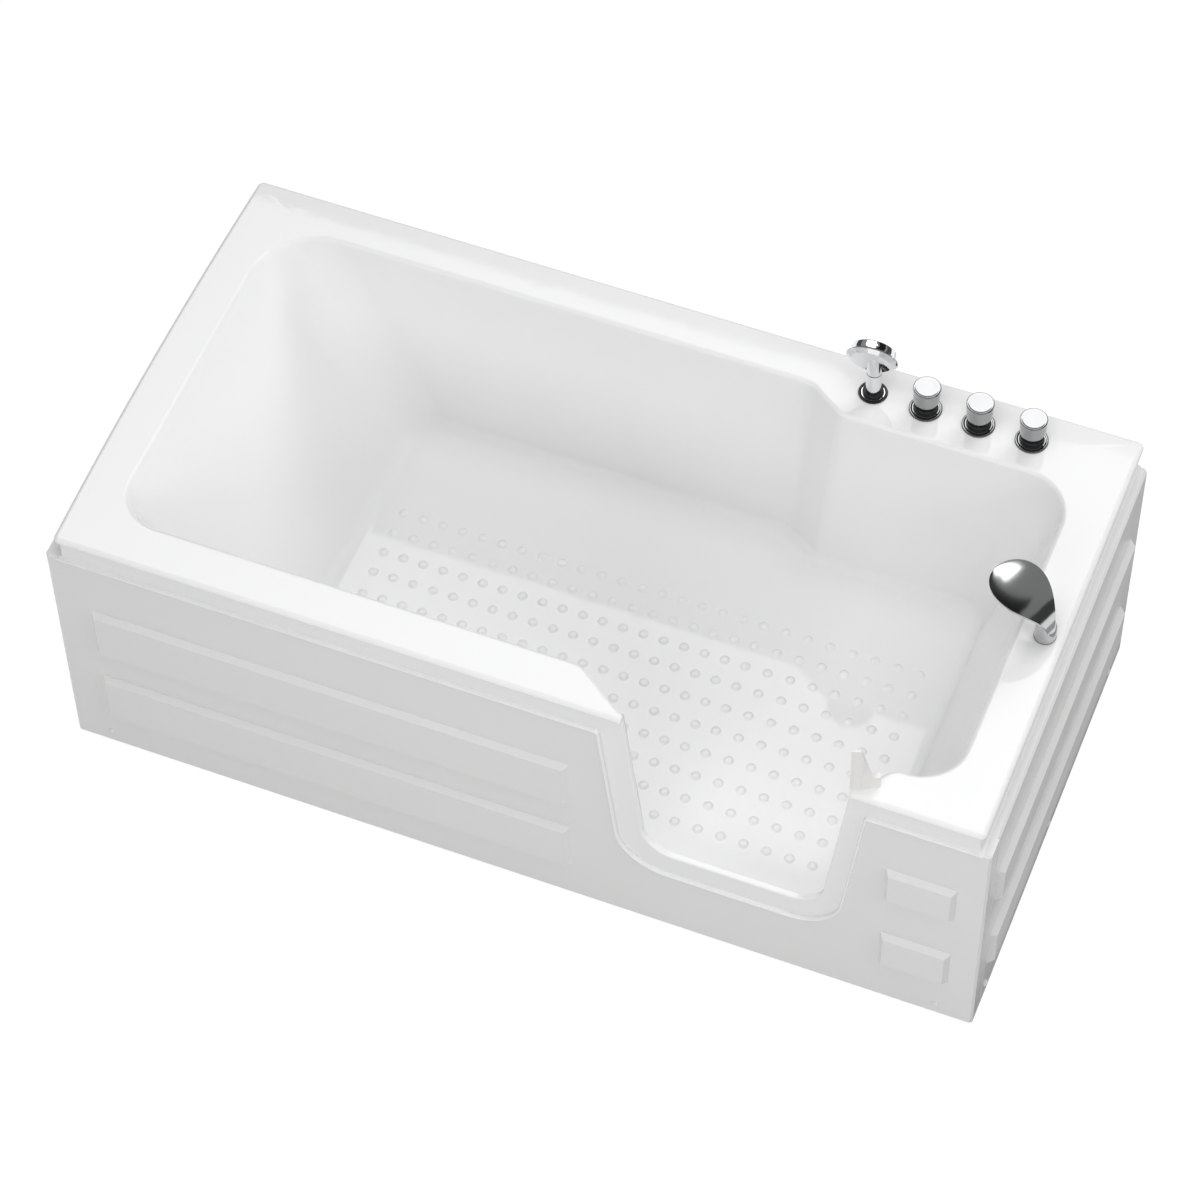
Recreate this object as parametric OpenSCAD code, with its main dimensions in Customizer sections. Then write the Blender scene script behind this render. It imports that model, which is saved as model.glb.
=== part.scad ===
// Walk-in bathtub: a moulded shell with an open doorway in its front wall, loose apron panels,
// a tube frame on levelling feet, a five-hole deck tap set with a pull-out hand shower, and a
// pop-up waste that is worked from the overflow. Left is the sloped head end, right is the foot
// end with the taps. The front is -Y. The origin is at the floor, under the middle of the whole.

/* [Overall] */
// Length of the deck, from head end to foot end
deck_len = 1645; // [1560:5:1980]
// Width of the deck, front to back
deck_w = 854; // [800:2:1030]
// How far the deck's head end bows out
bow = 8; // [6:1:11]
// Height of the deck above the floor
rim_h = 588; // [480:2:710]

/* [Basin] */
// Height of the standing surface above the floor
floor_z = 158; // [140:1:175]
// Thickness of the moulded shell
shell_t = 6; // [5:0.5:7.5]
// Width of the deck at the head end
rim_left = 73; // [62:1:90]
// Width of the deck at the foot end, which carries the spout
rim_right = 81; // [72:1:98]
// Width of the deck along the front, head side
rim_front = 84; // [74:1:100]
// Width of the deck along the front, foot side
rim_front_foot = 75; // [68:1:90]
// Width of the deck along the back
rim_back = 82; // [70:1:98]
// Width of the wider deck behind the taps
tap_deck = 130; // [120:1:156]
// Length of the wider deck, from the foot end
tap_deck_len = 502; // [470:2:600]
// Length over which the back wall steps in to the wider deck
step_run = 69; // [56:1:84]
// How far the back rest leans over, from floor to rim
head_run = 255; // [210:5:300]
// How far the foot wall leans over
foot_run = 130; // [108:2:156]
// How far the front and back walls lean in
side_run = 8; // [6:1:10]
// Radius between the floor and the walls
cove_r = 20; // [16:1:22]

/* [Doorway] */
// From the foot end of the deck to the doorway
door_from_foot = 230.5; // [205:0.5:270]
// Width of the doorway at the deck
door_w = 394; // [340:2:460]
// Lean of each jamb
door_lean = 6.2; // [5:0.2:7.4]
// Height of the sill above the floor
sill_z = 213; // [190:1:250]
// Radius of the doorway's lower corners
door_r = 60; // [50:1:72]
// Thickness of the wall at the doorway
jamb_t = 10; // [8.5:0.5:12]
// Face of the shell left showing beside the doorway, head side
band_head = 45; // [38:1:54]
// Face of the shell left showing beside the doorway, foot side
band_foot = 34; // [28:1:40]
// Face of the shell left showing below the sill
band_sill = 49; // [40:1:58]
// Height of the door keeper on the foot jamb
keeper_h = 109; // [90:1:130]

/* [Apron] */
// From the deck down to the top of the aprons
apron_drop = 56; // [46:1:68]
// Thickness of an apron panel
apron_t = 5; // [4:0.5:6]
// How far the deck's edge stands past the front apron
apron_setback = 3; // [2.5:0.5:3.5]
// How far the left apron stands past the deck
step_left = 20; // [17:1:24]
// How far the right apron stands past the deck
step_right = 13; // [11:1:15]
// How far the raised fields stand out
raise = 11; // [9:0.5:13]
// Width of the slope round a raised field
bevel = 8; // [6:0.5:9.5]
// Depth of the front apron's return round each corner
return_d = 40; // [34:1:48]
// Gap under the aprons
apron_gap = 4; // [3:1:5]
// Height of the apron screws above the floor
screw_z = 35; // [31:1:41]

/* [Frame] */
// Width of the bottom rails
rail_w = 38; // [34:1:46]
// Height of the bottom rails
rail_h = 50; // [42:1:58]
// Height of the rails above the floor
rail_z = 23; // [21:1:26]
// Width of a post
post_w = 24; // [20:1:26]
// Wall of the tubes
tube_t = 2; // [1.7:0.1:2.4]
// Thickness of the board under the basin
board_t = 18; // [15:1:21]
// Radius of a foot
foot_r = 18; // [15:0.5:18.5]
// Radius of a foot's stud
stud_r = 6; // [5:0.5:7]

/* [Taps] */
// Distance between the tap holes
tap_pitch = 95; // [88:1:104]
// From the back of the deck to the line of the taps
tap_from_back = 66; // [60:1:72]
// From the foot end of the deck to the last knob
tap_from_foot = 181.5; // [165:0.5:205]
// Radius of a knob's cap
knob_r = 24; // [20:0.5:27]
// Height of a knob's cap above the deck
knob_h = 60; // [52:1:70]
// Radius of a knob's flange
flange_r = 29; // [26:0.5:33]
// Radius of a valve's shank
shank_r = 16.5; // [14.5:0.5:18]
// From the foot end of the deck to the spout's stem
spout_from_foot = 34.5; // [32:0.5:38]
// Radius of the spout's stem
stem_r = 18.5; // [16:0.5:20]
// Length of the spout's blade, from its heel to its lip
blade_len = 119; // [99:1:143]
// Half of the blade's greatest width
blade_half = 49; // [41:1:58]
// Height of the blade's lip above the deck
blade_rise = 113; // [96:1:134]
// How far the blade is turned from straight across the bath, towards the taps
blade_turn = 17; // [0:1:20]
// Radius of the hand shower's head
head_r = 45.5; // [38:0.5:50]
// Thickness of the hand shower's head
head_t = 25; // [21:0.5:28]
// Height of the head's middle above the deck
head_h = 96; // [88:1:112]
// How far the head tips over, towards the basin
head_tilt = 15; // [12:1:18]
// How far the head is turned on the grip, towards the foot end
head_turn = 5; // [0:1:8]
// Radius of the hand shower's grip
grip_r = 13.7; // [12:0.1:15]
// Radius of the pipes under the deck
pipe_r = 7.5; // [6.5:0.5:8.5]
// Radius of the supply connectors, G 1/2
inlet_r = 10.48; // [8.8:0.02:12.5]

/* [Waste] */
// From the doorway to the waste, towards the head end
drain_from_door = 242; // [225:1:275]
// From the front of the deck to the waste
drain_from_front = 227; // [200:1:270]
// Radius of the waste's flange
drain_r = 35; // [30:0.5:39]
// Height of the overflow above the floor
overflow_z = 480; // [410:2:520]
// Radius of the overflow's plate
overflow_r = 36; // [30:0.5:42]
// Radius of the trap's outlet
outlet_r = 20; // [17:0.5:22]

/* [Hidden] */

round_fn = 64;      // facets of a round, where a circle isn't taken as exact
arc_n = 6;          // steps along a rounded corner

fit = 0.5;          // a loose hole round a fixed shank
slip = 0.05;        // a running fit
lift_gap = 0.4;     // the hand shower in its holder
seat = 0.3;         // a moving piece over what carries it

// Deck
lip = 8;            // the skirt behind the deck's rounded edge
deck_t = 10;        // thickness of the deck at its edge
edge_r = 8;         // radius along the deck's top edge
skirt_t = 5;
skirt_over = 20;    // how far the skirt runs down behind the aprons

width_all = deck_len + step_left + step_right;
x_l = -width_all / 2 + step_left;
x_r = x_l + deck_len;
front_proud = raise - apron_setback;
y_f = -(deck_w + front_proud) / 2 + front_proud;
y_b = y_f + deck_w;
apron_top = rim_h - apron_drop;
band_y = y_f + lip;                 // front face of the skirt
under_deck = rim_h - deck_t;

// Basin, at the rim and at the floor
in_l = x_l + rim_left;
in_r = x_r - rim_right;
in_f = y_f + rim_front;
in_ff = y_f + rim_front_foot;
in_b = y_b - rim_back;
in_tb = y_b - tap_deck;
in_d = band_y + jamb_t;             // inside of the doorway's wall
fl_l = in_l + head_run;
fl_r = in_r - foot_run;
basin_h = rim_h - floor_z;

door_1 = x_r - door_from_foot;      // foot jamb at the deck
door_0 = door_1 - door_w;           // head jamb at the deck
door_drift = basin_h * tan(door_lean);
step_1 = x_r - tap_deck_len;
step_0 = step_1 - step_run;
step_drift = 28;                    // the step leans with the wall

rim_line = [
    [in_l, in_f, 80], [door_0 - 100, in_f, 40], [door_0 - 6, in_d, 30],
    [door_1 + 6, in_d, 25], [door_1 + 53, in_ff, 30], [in_r, in_ff, 80],
    [in_r, in_tb, 85], [step_1, in_tb, 45], [step_0, in_b, 45], [in_l, in_b, 120]
];
floor_line = [
    [fl_l, in_f + side_run, 60], [door_0 - 100 + door_drift, in_f + side_run, 30],
    [door_0 - 6 + door_drift, in_d + 4, 20], [door_1 + 6 - door_drift, in_d + 4, 20],
    [door_1 + 36 - door_drift, in_ff + side_run, 15], [fl_r, in_ff + side_run, 22],
    [fl_r, in_tb - 2, 45], [step_1 - step_drift, in_tb - 2, 35],
    [step_0 - step_drift, in_b - side_run, 35], [fl_l, in_b - side_run, 60]
];

// Frame
board_z = floor_z - shell_t - board_t;
rail_top = rail_z + rail_h;
bar_w = 30;
bar_x = [fl_l + 75, door_0 - 118, fl_r - 128];
rail_y0 = band_y;                                // front rail against the front apron
rail_y1 = y_b - lip;
rail_x0 = x_l - step_left + apron_t;
rail_x1 = x_r + step_right - apron_t;
post_gap = 1;
post_y = [band_y + skirt_t + post_gap, y_b - lip - skirt_t - post_gap - post_w];
post_x = [x_l + lip + skirt_t + post_gap, door_0 - 158, x_r - lip - skirt_t - post_gap - post_w];
foot_x = [x_l + 120, (x_l + x_r) / 2 + 30, x_r - 120];
foot_y = [rail_y0 + rail_w / 2, rail_y1 - rail_w / 2];
pad_h = 10;
stud_top = rail_z + 30;

// Screws
screw_r = 2.5;
screw_in = 68;                                   // from an apron's end
front_screw_x = [x_l - step_left + screw_in, x_r + step_right - screw_in];
side_screw_y = [y_f + 72, y_f + 417, y_b - 92];
cap_r = 7;
cap_h = 3.5;
head_h_screw = 2.6;

// Aprons
front_back = y_f + apron_setback + apron_t;      // back of the front apron's plate
long_x = [x_l + 51, door_0 - 94];
pad_x = [door_1 + 70, x_r - 36];
field_z = [[95, 213], [285, 405]];
short_z = [[113, 207], [315, 405]];
side_y = [y_f + 62, y_b - 67];
return_y = y_f + apron_setback + return_d;       // where the side aprons start
side_back = y_b - 11;

// Taps
tap_y = y_b - tap_from_back;
tap_x = [for (i = [0:3]) x_r - tap_from_foot - (3 - i) * tap_pitch];
shower_x = tap_x[0];
hot_x = tap_x[1];
cold_x = tap_x[2];
diverter_x = tap_x[3];
flange_t = 4;
collar_r = shank_r + 4.5;
collar_t = 4;
knob_z = rim_h + flange_t + collar_t + seat + 0.7;
spindle_r = 4;
valve_r = 20;
link_z = rim_h - 50;                             // pipes between the valves
valve_z = link_z - 22;                           // underside of the valve bodies
inlet_len = 16;
nut_t = 9;
washer_t = 3;
port_r = 11;
port_reach = 26;                                 // from a valve's axis to its port's face
socket_d = 8;

shower_hole_r = 19;
sleeve_r = shower_hole_r - fit;
stalk_r = 11;                                    // hand shower below its shoulder
head_off = 4.5;                                  // from the grip's axis to the head's middle
back_in = 7;                                     // how much smaller the head is at its back
face_t = 6;                                      // bevelled face of the head, in front of its rim
holder_t = 12;                                   // flange and collar of the holder
sleeve_len = 80;
shoulder_z = rim_h + holder_t + seat;

spout_x = x_r - spout_from_foot;
spout_y = y_f + deck_w / 2 - 17;
spout_shank_r = 13;
blade_t = 4;
heel_h = 38;                                     // heel of the blade above the deck
heel = [spout_x + 11.5, spout_y - 13.5];
heel_w = 11;
dish = 4;                                        // how far the blade's edges stand over its middle
widest = 0.56;                                   // share of the blade's length
pipe_in = pipe_r - 1.5;
bend_r = 25;
pipe_bend_top = link_z + bend_r;                 // where the pipe turns up into the spout
spout_shank_z = pipe_bend_top + 0.5;

// Waste
drain_x = door_0 - drain_from_door;
drain_y = y_f + drain_from_front;
drain_hole_r = 26;
throat_r = drain_hole_r - fit;
throat_in = 20;
nut_r = 35;
body_z = board_z - 34;
body_r = 29;
side_z = body_z + 13;                            // overflow's branch
spigot_r = 16;
trap_r = 38;
trap_z = [24, body_z - 12];
trap_outlet_z = 62;
outlet_reach = 113;                              // from the waste's axis to the outlet's end
outlet_free = 60;                                // what the next pipe slides over
plug_r = 23;
front_lean = atan(side_run / basin_h);
overflow_x = drain_x;                            // both are in line, on the front wall
overflow_y = in_f + side_run * (rim_h - overflow_z) / basin_h;
overflow_pipe_r = 11;
overflow_hole_r = 16;
drop_y = overflow_y - shell_t - 24;              // overflow's pipe behind the front wall

white = [0.95, 0.95, 0.94];
panel_white = [0.86, 0.86, 0.86];
chrome = [0.78, 0.79, 0.80];
brass = [0.80, 0.66, 0.36];
steel = [0.62, 0.64, 0.66];
pipe_white = [0.88, 0.89, 0.90];
black = [0.12, 0.12, 0.13];
wood = [0.72, 0.58, 0.40];

// ---- outlines and lofts -------------------------------------------------------------------

function unit(v) = v / norm(v);
function flat(v) = [v[0], v[1]];
function left_of(d) = [-d[1], d[0]];

// Directions into and out of corner i of an outline
function way_in(line, i) = unit(flat(line[i]) - flat(line[(i + len(line) - 1) % len(line)]));
function way_out(line, i) = unit(flat(line[(i + 1) % len(line)]) - flat(line[i]));

// How far the round at corner i reaches along its edges, and what share of that there is room for
function reach(line, i) =
    let (a = way_in(line, i), b = way_out(line, i)) line[i][2] * tan(abs(atan2(cross(a, b), a * b)) / 2);
function share(line, i, j) =
    min(1, 0.98 * norm(flat(line[i]) - flat(line[j])) / max(reach(line, i) + reach(line, j), 0.01));

// The points along corner i, rounded with the radius that its third number gives
function corner_arc(line, i, n) =
    let (a = way_in(line, i), b = way_out(line, i), turn = atan2(cross(a, b), a * b),
         m = len(line), side = turn > 0 ? 1 : -1,
         r = line[i][2] * min(share(line, i, (i + 1) % m), share(line, (i + m - 1) % m, i)),
         start = flat(line[i]) - a * r * tan(abs(turn) / 2),
         middle = start + side * r * left_of(a),
         from = atan2(start[1] - middle[1], start[0] - middle[0]))
    [for (k = [0:n]) middle + r * [cos(from + turn * k / n), sin(from + turn * k / n)]];

// An outline with all its corners rounded, counter-clockwise
function rounded(line, n = arc_n) = [for (i = [0:len(line) - 1]) each corner_arc(line, i, n)];

// An outline moved in by d, or out where d is below 0
function inset(line, d) = [
    for (i = [0:len(line) - 1])
        let (a = way_in(line, i), b = way_out(line, i), m = left_of(a) + left_of(b),
             p = flat(line[i]) + m * d / (1 + left_of(a) * left_of(b)))
        [p[0], p[1], max(line[i][2] + (cross(a, b) > 0 ? -d : d), 0.5)]
];

function between(a, b, t) = [for (i = [0:len(a) - 1]) a[i] * (1 - t) + b[i] * t];

// The basin's outline at a height
function basin_line(z) = between(floor_line, rim_line, (z - floor_z) / basin_h);

function box_line(x0, x1, y0, y1, r) = [[x0, y0, r], [x1, y0, r], [x1, y1, r], [x0, y1, r]];

function mean(ring) = [for (axis = [0, 1]) [for (p = ring) p[axis]] * [for (p = ring) 1] / len(ring)];

// A solid through rings of points, each ring at its own height, with a fan over each end
module loft(rings, heights) {
    n = len(rings[0]);
    last = len(rings) - 1;
    low = (last + 1) * n;               // the two middles come after the rings
    high = low + 1;
    points = concat(
        [for (k = [0:last]) for (p = rings[k]) [p[0], p[1], heights[k]]],
        [[each mean(rings[0]), heights[0]], [each mean(rings[last]), heights[last]]]
    );
    sides = [
        for (k = [0:last - 1]) for (i = [0:n - 1])
            let (j = (i + 1) % n, a = k * n, b = a + n)
            each [[a + i, b + i, b + j], [a + i, b + j, a + j]]
    ];
    ends = [
        for (i = [0:n - 1])
            let (j = (i + 1) % n, a = last * n)
            each [[low, i, j], [high, a + j, a + i]]
    ];
    polyhedron(points, concat(sides, ends));
}

// The basin's form. grow is 0 for its inside, and the shell's thickness for its outside
module basin(grow, top) {
    steps = [0, 30, 60, 90];
    heights = [for (a = steps) floor_z + cove_r - (cove_r + grow) * cos(a)];
    insets = [for (a = steps) cove_r - (cove_r + grow) * sin(a)];
    low = [for (k = [0:3]) rounded(inset(basin_line(max(heights[k], floor_z)), insets[k]))];
    end = rounded(inset(basin_line(min(top, rim_h)), -grow));
    loft(concat(low, [end]), concat(heights, [top]));
}

// The deck's outline, which is an arc along the head end
function deck_line() =
    let (half = deck_w / 2, turn = 2 * atan(2 * bow / half), r = half / tan(turn / 2))
    [[x_l, y_f, 12], [x_r, y_f, 12], [x_r, y_b, 12], [x_l, y_b, 12],
     [x_l - 2 * bow, y_f + half, r * 0.96]];

module deck() {
    line = deck_line();
    steps = [0, 30, 60, 90];
    rings = [for (a = steps) rounded(inset(line, edge_r * (1 - cos(a))))];
    heights = [for (a = steps) rim_h - edge_r + edge_r * sin(a)];
    loft(concat([rounded(line)], rings), concat([under_deck], heights));
}

// The doorway's outline in X and Z, wider than the doorway by the three margins
function door_line(head = 0, foot = 0, sill = 0, r = door_r, top = rim_h + 20) =
    let (z = sill_z - sill, low = (rim_h - z) * tan(door_lean), up = (top - rim_h) * tan(door_lean))
    [[door_0 - head + low, z, r], [door_1 + foot - low, z, r],
     [door_1 + foot + up, top, 1], [door_0 - head - up, top, 1]];

module ring(outer, inner, h) {
    difference() {
        cylinder(r = outer, h = h, $fn = round_fn);
        translate([0, 0, -1]) cylinder(r = inner, h = h + 2, $fn = round_fn);
    }
}

module hex_nut(across, inner, h) {
    difference() {
        cylinder(d = across / cos(30), h = h, $fn = 6);
        translate([0, 0, -1]) cylinder(r = inner, h = h + 2, $fn = round_fn);
    }
}

// A quarter bend of pipe, from +X at the start round to +Y, about the origin
module bend(outer, inner) {
    rotate_extrude(angle = 90, $fn = round_fn) translate([bend_r, 0]) difference() {
        circle(r = outer, $fn = round_fn);
        circle(r = inner, $fn = round_fn);
    }
}

module at_overflow() {
    translate([overflow_x, overflow_y, overflow_z]) rotate([-(90 - front_lean), 0, 0]) children();
}

module at_drain(z = 0) {
    translate([drain_x, drain_y, z]) children();
}

// ---- shell and aprons ---------------------------------------------------------------------

module skirt() {
    z0 = apron_top - skirt_over;
    difference() {
        translate([x_l + lip, band_y, z0]) cube([deck_len - 2 * lip, deck_w - 2 * lip, under_deck + 4 - z0]);
        translate([x_l + lip + skirt_t, band_y + skirt_t, z0 - 1])
            cube([deck_len - 2 * (lip + skirt_t), deck_w - 2 * (lip + skirt_t), apron_drop + 50]);
    }
}

module tub_shell() color(white) difference() {
    union() {
        deck();
        skirt();
        basin(shell_t, under_deck + 3);
        // flat wall round the doorway
        translate([door_0 - 40, band_y, floor_z - shell_t / 2])
            cube([door_w + 84, jamb_t - 1, under_deck + 2 - floor_z + shell_t / 2]);
    }
    basin(0, rim_h + 1);
    translate([0, in_d + 12, 0]) rotate([90, 0, 0])
        linear_extrude(height = 50) polygon(rounded(door_line()));
    for (x = [hot_x, cold_x, diverter_x])
        translate([x, tap_y, under_deck - 20]) cylinder(r = shank_r + fit, h = 50, $fn = round_fn);
    translate([shower_x, tap_y, under_deck - 20]) cylinder(r = shower_hole_r, h = 50, $fn = round_fn);
    translate([spout_x, spout_y, under_deck - 20])
        cylinder(r = spout_shank_r + fit, h = 50, $fn = round_fn);
    at_drain(floor_z - 20) cylinder(r = drain_hole_r, h = 40, $fn = round_fn);
    at_overflow() translate([0, 0, -20]) cylinder(r = overflow_hole_r, h = 30, $fn = round_fn);
}

// A raised field on a panel that lies in X and Y and faces +Z at height 0
module raised_field(x, y) {
    line = box_line(x[0], x[1], y[0], y[1], 3);
    loft([rounded(line), rounded(line), rounded(inset(line, bevel))], [-apron_t / 2, 0, raise]);
}

// The hollow behind a raised field
module field_hollow(x, y) {
    line = inset(box_line(x[0], x[1], y[0], y[1], 3), apron_t);
    loft([rounded(line), rounded(inset(line, bevel))], [-apron_t - 0.5, raise - apron_t]);
}

// A panel with a sloped edge, from its back at -apron_t to its face at 0
module panel(line) {
    edge = apron_t - 1;
    loft([rounded(line), rounded(line), rounded(inset(line, edge))], [-apron_t, -edge, 0]);
}

module front_apron() color(panel_white) {
    x0 = x_l - step_left;
    x1 = x_r + step_right;
    slope = apron_t - 1;
    cut = door_line(band_head, band_foot, band_sill, door_r + band_foot, apron_top + 20);
    fields = concat([for (z = field_z) [long_x, z]], [for (z = short_z) [pad_x, z]]);
    difference() {
        union() {
            translate([0, y_f + apron_setback, 0]) rotate([90, 0, 0]) {
                panel(box_line(x0, x1, apron_gap, apron_top, 6));
                for (f = fields) raised_field(f[0], f[1]);
            }
            // the returns round the corners, with their top flanges
            for (side = [0, 1]) {
                plate_x = side == 0 ? x0 : x1 - apron_t;
                flange_x = side == 0 ? x0 : x_r - lip;
                translate([plate_x, front_back - 1, apron_gap + 6])
                    cube([apron_t, return_y - front_back + 1, apron_top - apron_gap - 6]);
                translate([flange_x, front_back - 1, apron_top - apron_t])
                    cube([lip + (side == 0 ? step_left : step_right), return_y - front_back + 1, apron_t]);
            }
        }
        translate([0, y_f + apron_setback, 0]) rotate([90, 0, 0]) {
            for (f = fields) field_hollow(f[0], f[1]);
            loft([rounded(cut), rounded(cut), rounded(inset(cut, -slope))], [-apron_t - 1, -slope, 0]);
            loft([for (k = [0, 1]) rounded(inset(cut, -slope))], [-0.01, 5]);
        }
        // room for the shell's skirt behind the flanges
        translate([x_l + lip, band_y, apron_top - apron_t - 1])
            cube([deck_len - 2 * lip, return_y - band_y + 1, apron_t + 2]);
        for (x = front_screw_x)
            translate([x, front_back + 1, screw_z]) rotate([90, 0, 0])
                cylinder(r = screw_r + 0.3, h = 20, $fn = round_fn);
    }
}

// A side apron that faces +X, with its face at step past the deck
module side_apron(edge, step) {
    face = edge + step;
    difference() {
        union() {
            translate([face, 0, 0]) rotate([90, 0, 90]) {
                panel(box_line(return_y, side_back, apron_gap, apron_top, 3));
                for (z = short_z) raised_field(side_y, z);
            }
            translate([edge - lip, return_y, apron_top - apron_t])
                cube([step + lip - apron_t + 0.5, side_back - return_y, apron_t]);
        }
        translate([face, 0, 0]) rotate([90, 0, 90])
            for (z = short_z) field_hollow(side_y, z);
        for (y = side_screw_y)
            translate([face - 20, y, screw_z]) rotate([0, 90, 0])
                cylinder(r = screw_r + 0.3, h = 40, $fn = round_fn);
    }
}

module right_apron() color(panel_white) side_apron(x_r, step_right);

module left_apron() color(panel_white) mirror([1, 0, 0]) side_apron(-x_l, step_left);

// The fixed keeper that stands on the foot jamb
module door_keeper() color(panel_white) {
    x0 = door_1 - 3;
    y0 = y_f + 11;
    t = 4;
    post = [x0 + 39, y0 + 24];
    intersection() {
        union() {
            translate([0, 0, rim_h]) linear_extrude(height = keeper_h) polygon([
                [x0, y0], [x0 + 6, y0 + 1], [x0 + 18, y0 + 6], [x0 + 30, y0 + 15], [post[0] + 3, post[1] - 4],
                [post[0] - 2, post[1] + 3], [x0 + 27, y0 + 18], [x0 + 16, y0 + 6 + t], [x0 + 5, y0 + 1 + t],
                [x0, y0 + t]
            ]);
            translate([post[0], post[1], rim_h]) cylinder(r = 5.5, h = keeper_h, $fn = round_fn);
        }
        translate([0, y0 + 60, 0]) rotate([90, 0, 0]) linear_extrude(height = 100) polygon(rounded([
            [x0 - 1, rim_h, 0.5], [x0 + 60, rim_h, 0.5], [x0 + 60, rim_h + keeper_h * 0.25, 2],
            [x0 + 31, rim_h + keeper_h * 0.27, 10], [x0 + 14, rim_h + keeper_h, 5],
            [x0 - 1, rim_h + keeper_h, 1]
        ]));
    }
}

module floor_board() color(wood) difference() {
    translate([0, 0, board_z]) linear_extrude(height = board_t)
        polygon(rounded(inset(floor_line, cove_r + 8)));
    at_drain(board_z - 1) cylinder(r = drain_hole_r + 9, h = board_t + 2, $fn = round_fn);
}

// ---- frame --------------------------------------------------------------------------------

// A square tube. size is its outside, and axis is the way it runs
module tube(size, axis) {
    hole = [for (i = [0:2]) i == axis ? size[i] + 2 : size[i] - 2 * tube_t];
    start = [for (i = [0:2]) i == axis ? -1 : tube_t];
    difference() {
        cube(size);
        translate(start) cube(hole);
    }
}

module long_rail(y0, face) color(steel) difference() {
    translate([rail_x0, y0, rail_z]) tube([rail_x1 - rail_x0, rail_w, rail_h], 0);
    for (x = foot_x)
        translate([x, y0 + rail_w / 2, rail_z - 1]) cylinder(r = stud_r + fit, h = 10, $fn = round_fn);
    if (face)
        for (x = front_screw_x)
            translate([x, y0 + 10, screw_z]) rotate([90, 0, 0])
                cylinder(r = screw_r + 0.1, h = 20, $fn = round_fn);
}

module end_rail(x0, hole_x) color(steel) difference() {
    translate([x0, rail_y0 + rail_w, rail_z]) tube([rail_w, rail_y1 - rail_y0 - 2 * rail_w, rail_h], 1);
    for (y = side_screw_y)
        translate([hole_x, y, screw_z]) rotate([0, 90, 0])
            cylinder(r = screw_r + 0.1, h = 20, $fn = round_fn);
}

module rail_front() long_rail(rail_y0, true);

module rail_back() long_rail(rail_y1 - rail_w, false);

module rail_left() end_rail(rail_x0, rail_x0 - 10);

module rail_right() end_rail(rail_x1 - rail_w, rail_x1 - 10);

module crossbar(x) color(steel) translate([x, rail_y0, rail_top])
    tube([bar_w, rail_y1 - rail_y0, board_z - rail_top], 1);

module post(x, y) color(steel) translate([x, y, rail_top])
    tube([post_w, post_w, under_deck - rail_top], 2);

// The places of the feet, and of the aprons' screws, each screw pointing out of its apron
module at_feet() {
    for (x = foot_x) for (y = foot_y) translate([x, y, 0]) children();
}

module at_screws() {
    for (x = front_screw_x) translate([x, y_f + apron_setback, screw_z]) rotate([90, 0, 0]) children();
    for (y = side_screw_y) {
        translate([x_r + step_right, y, screw_z]) rotate([0, 90, 0]) children();
        translate([x_l - step_left, y, screw_z]) rotate([0, -90, 0]) children();
    }
}

module foot_pads() color(black) at_feet() difference() {
    rotate_extrude($fn = round_fn) polygon([
        [0, 0], [foot_r - 1.5, 0], [foot_r, 1.5], [foot_r, 4], [stud_r + 6, 6],
        [stud_r + 4, pad_h], [0, pad_h]
    ]);
    translate([0, 0, 3]) cylinder(r = stud_r + slip, h = pad_h, $fn = round_fn);
}

module foot_studs() color(steel) at_feet()
    translate([0, 0, 3]) cylinder(r = stud_r, h = stud_top - 3, $fn = round_fn);

module lock_nuts() color(steel) at_feet() {
    translate([0, 0, rail_z - 8]) hex_nut(19, stud_r + slip, 8);
    translate([0, 0, rail_z + tube_t]) hex_nut(19, stud_r + slip, 10);
}

module apron_screws() color(steel) at_screws() {
    rotate_extrude($fn = round_fn) polygon([
        [0, head_h_screw], [3, head_h_screw], [5, 0], [screw_r, 0], [screw_r, -apron_t - 11], [0, -apron_t - 13]
    ]);
}

module screw_caps() color(white) at_screws() difference() {
    rotate_extrude($fn = round_fn) polygon([
        [0, 0], [cap_r, 0], [cap_r - 0.8, 1.6], [cap_r - 2.6, 2.8], [0, cap_h]
    ]);
    translate([0, 0, -1]) rotate_extrude($fn = round_fn)
        polygon([[0, 0], [5.2, 0], [5.2, 1.1], [3.2, head_h_screw + 1.2], [0, head_h_screw + 1.2]]);
}

// ---- tap set ------------------------------------------------------------------------------

module tap_flange(x) color(chrome) translate([x, tap_y, rim_h]) difference() {
    rotate_extrude($fn = round_fn) polygon([
        [0, 0], [flange_r, 0], [flange_r, 1.6], [flange_r - 0.8, 3], [flange_r - 2.4, flange_t],
        [collar_r, flange_t], [collar_r, flange_t + collar_t - 1], [collar_r - 1, flange_t + collar_t],
        [0, flange_t + collar_t]
    ]);
    translate([0, 0, -1]) cylinder(r = shank_r + slip, h = 20, $fn = round_fn);
}

module tap_knob(x) color(chrome) translate([x, tap_y, knob_z]) {
    top = rim_h + knob_h - knob_z;
    difference() {
        rotate_extrude($fn = round_fn) polygon([
            [0, 0], [collar_r - 1.4, 0], [collar_r - 0.6, 0.8], [collar_r - 0.6, 5], [collar_r - 1.6, 6],
            [knob_r - 3.4, top * 0.5], [knob_r - 2.4, top * 0.7], [knob_r - 0.9, top * 0.78],
            [knob_r, top * 0.86], [knob_r, top - 3.6], [knob_r - 0.8, top - 1.4], [knob_r - 2.6, top],
            [knob_r - 3.6, top - 0.6], [knob_r - 8, top - 1.2], [0, top - 0.9]
        ]);
        translate([0, 0, -1]) cylinder(r = spindle_r + 0.1, h = top * 0.7 + 1, $fn = round_fn);
    }
}

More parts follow.
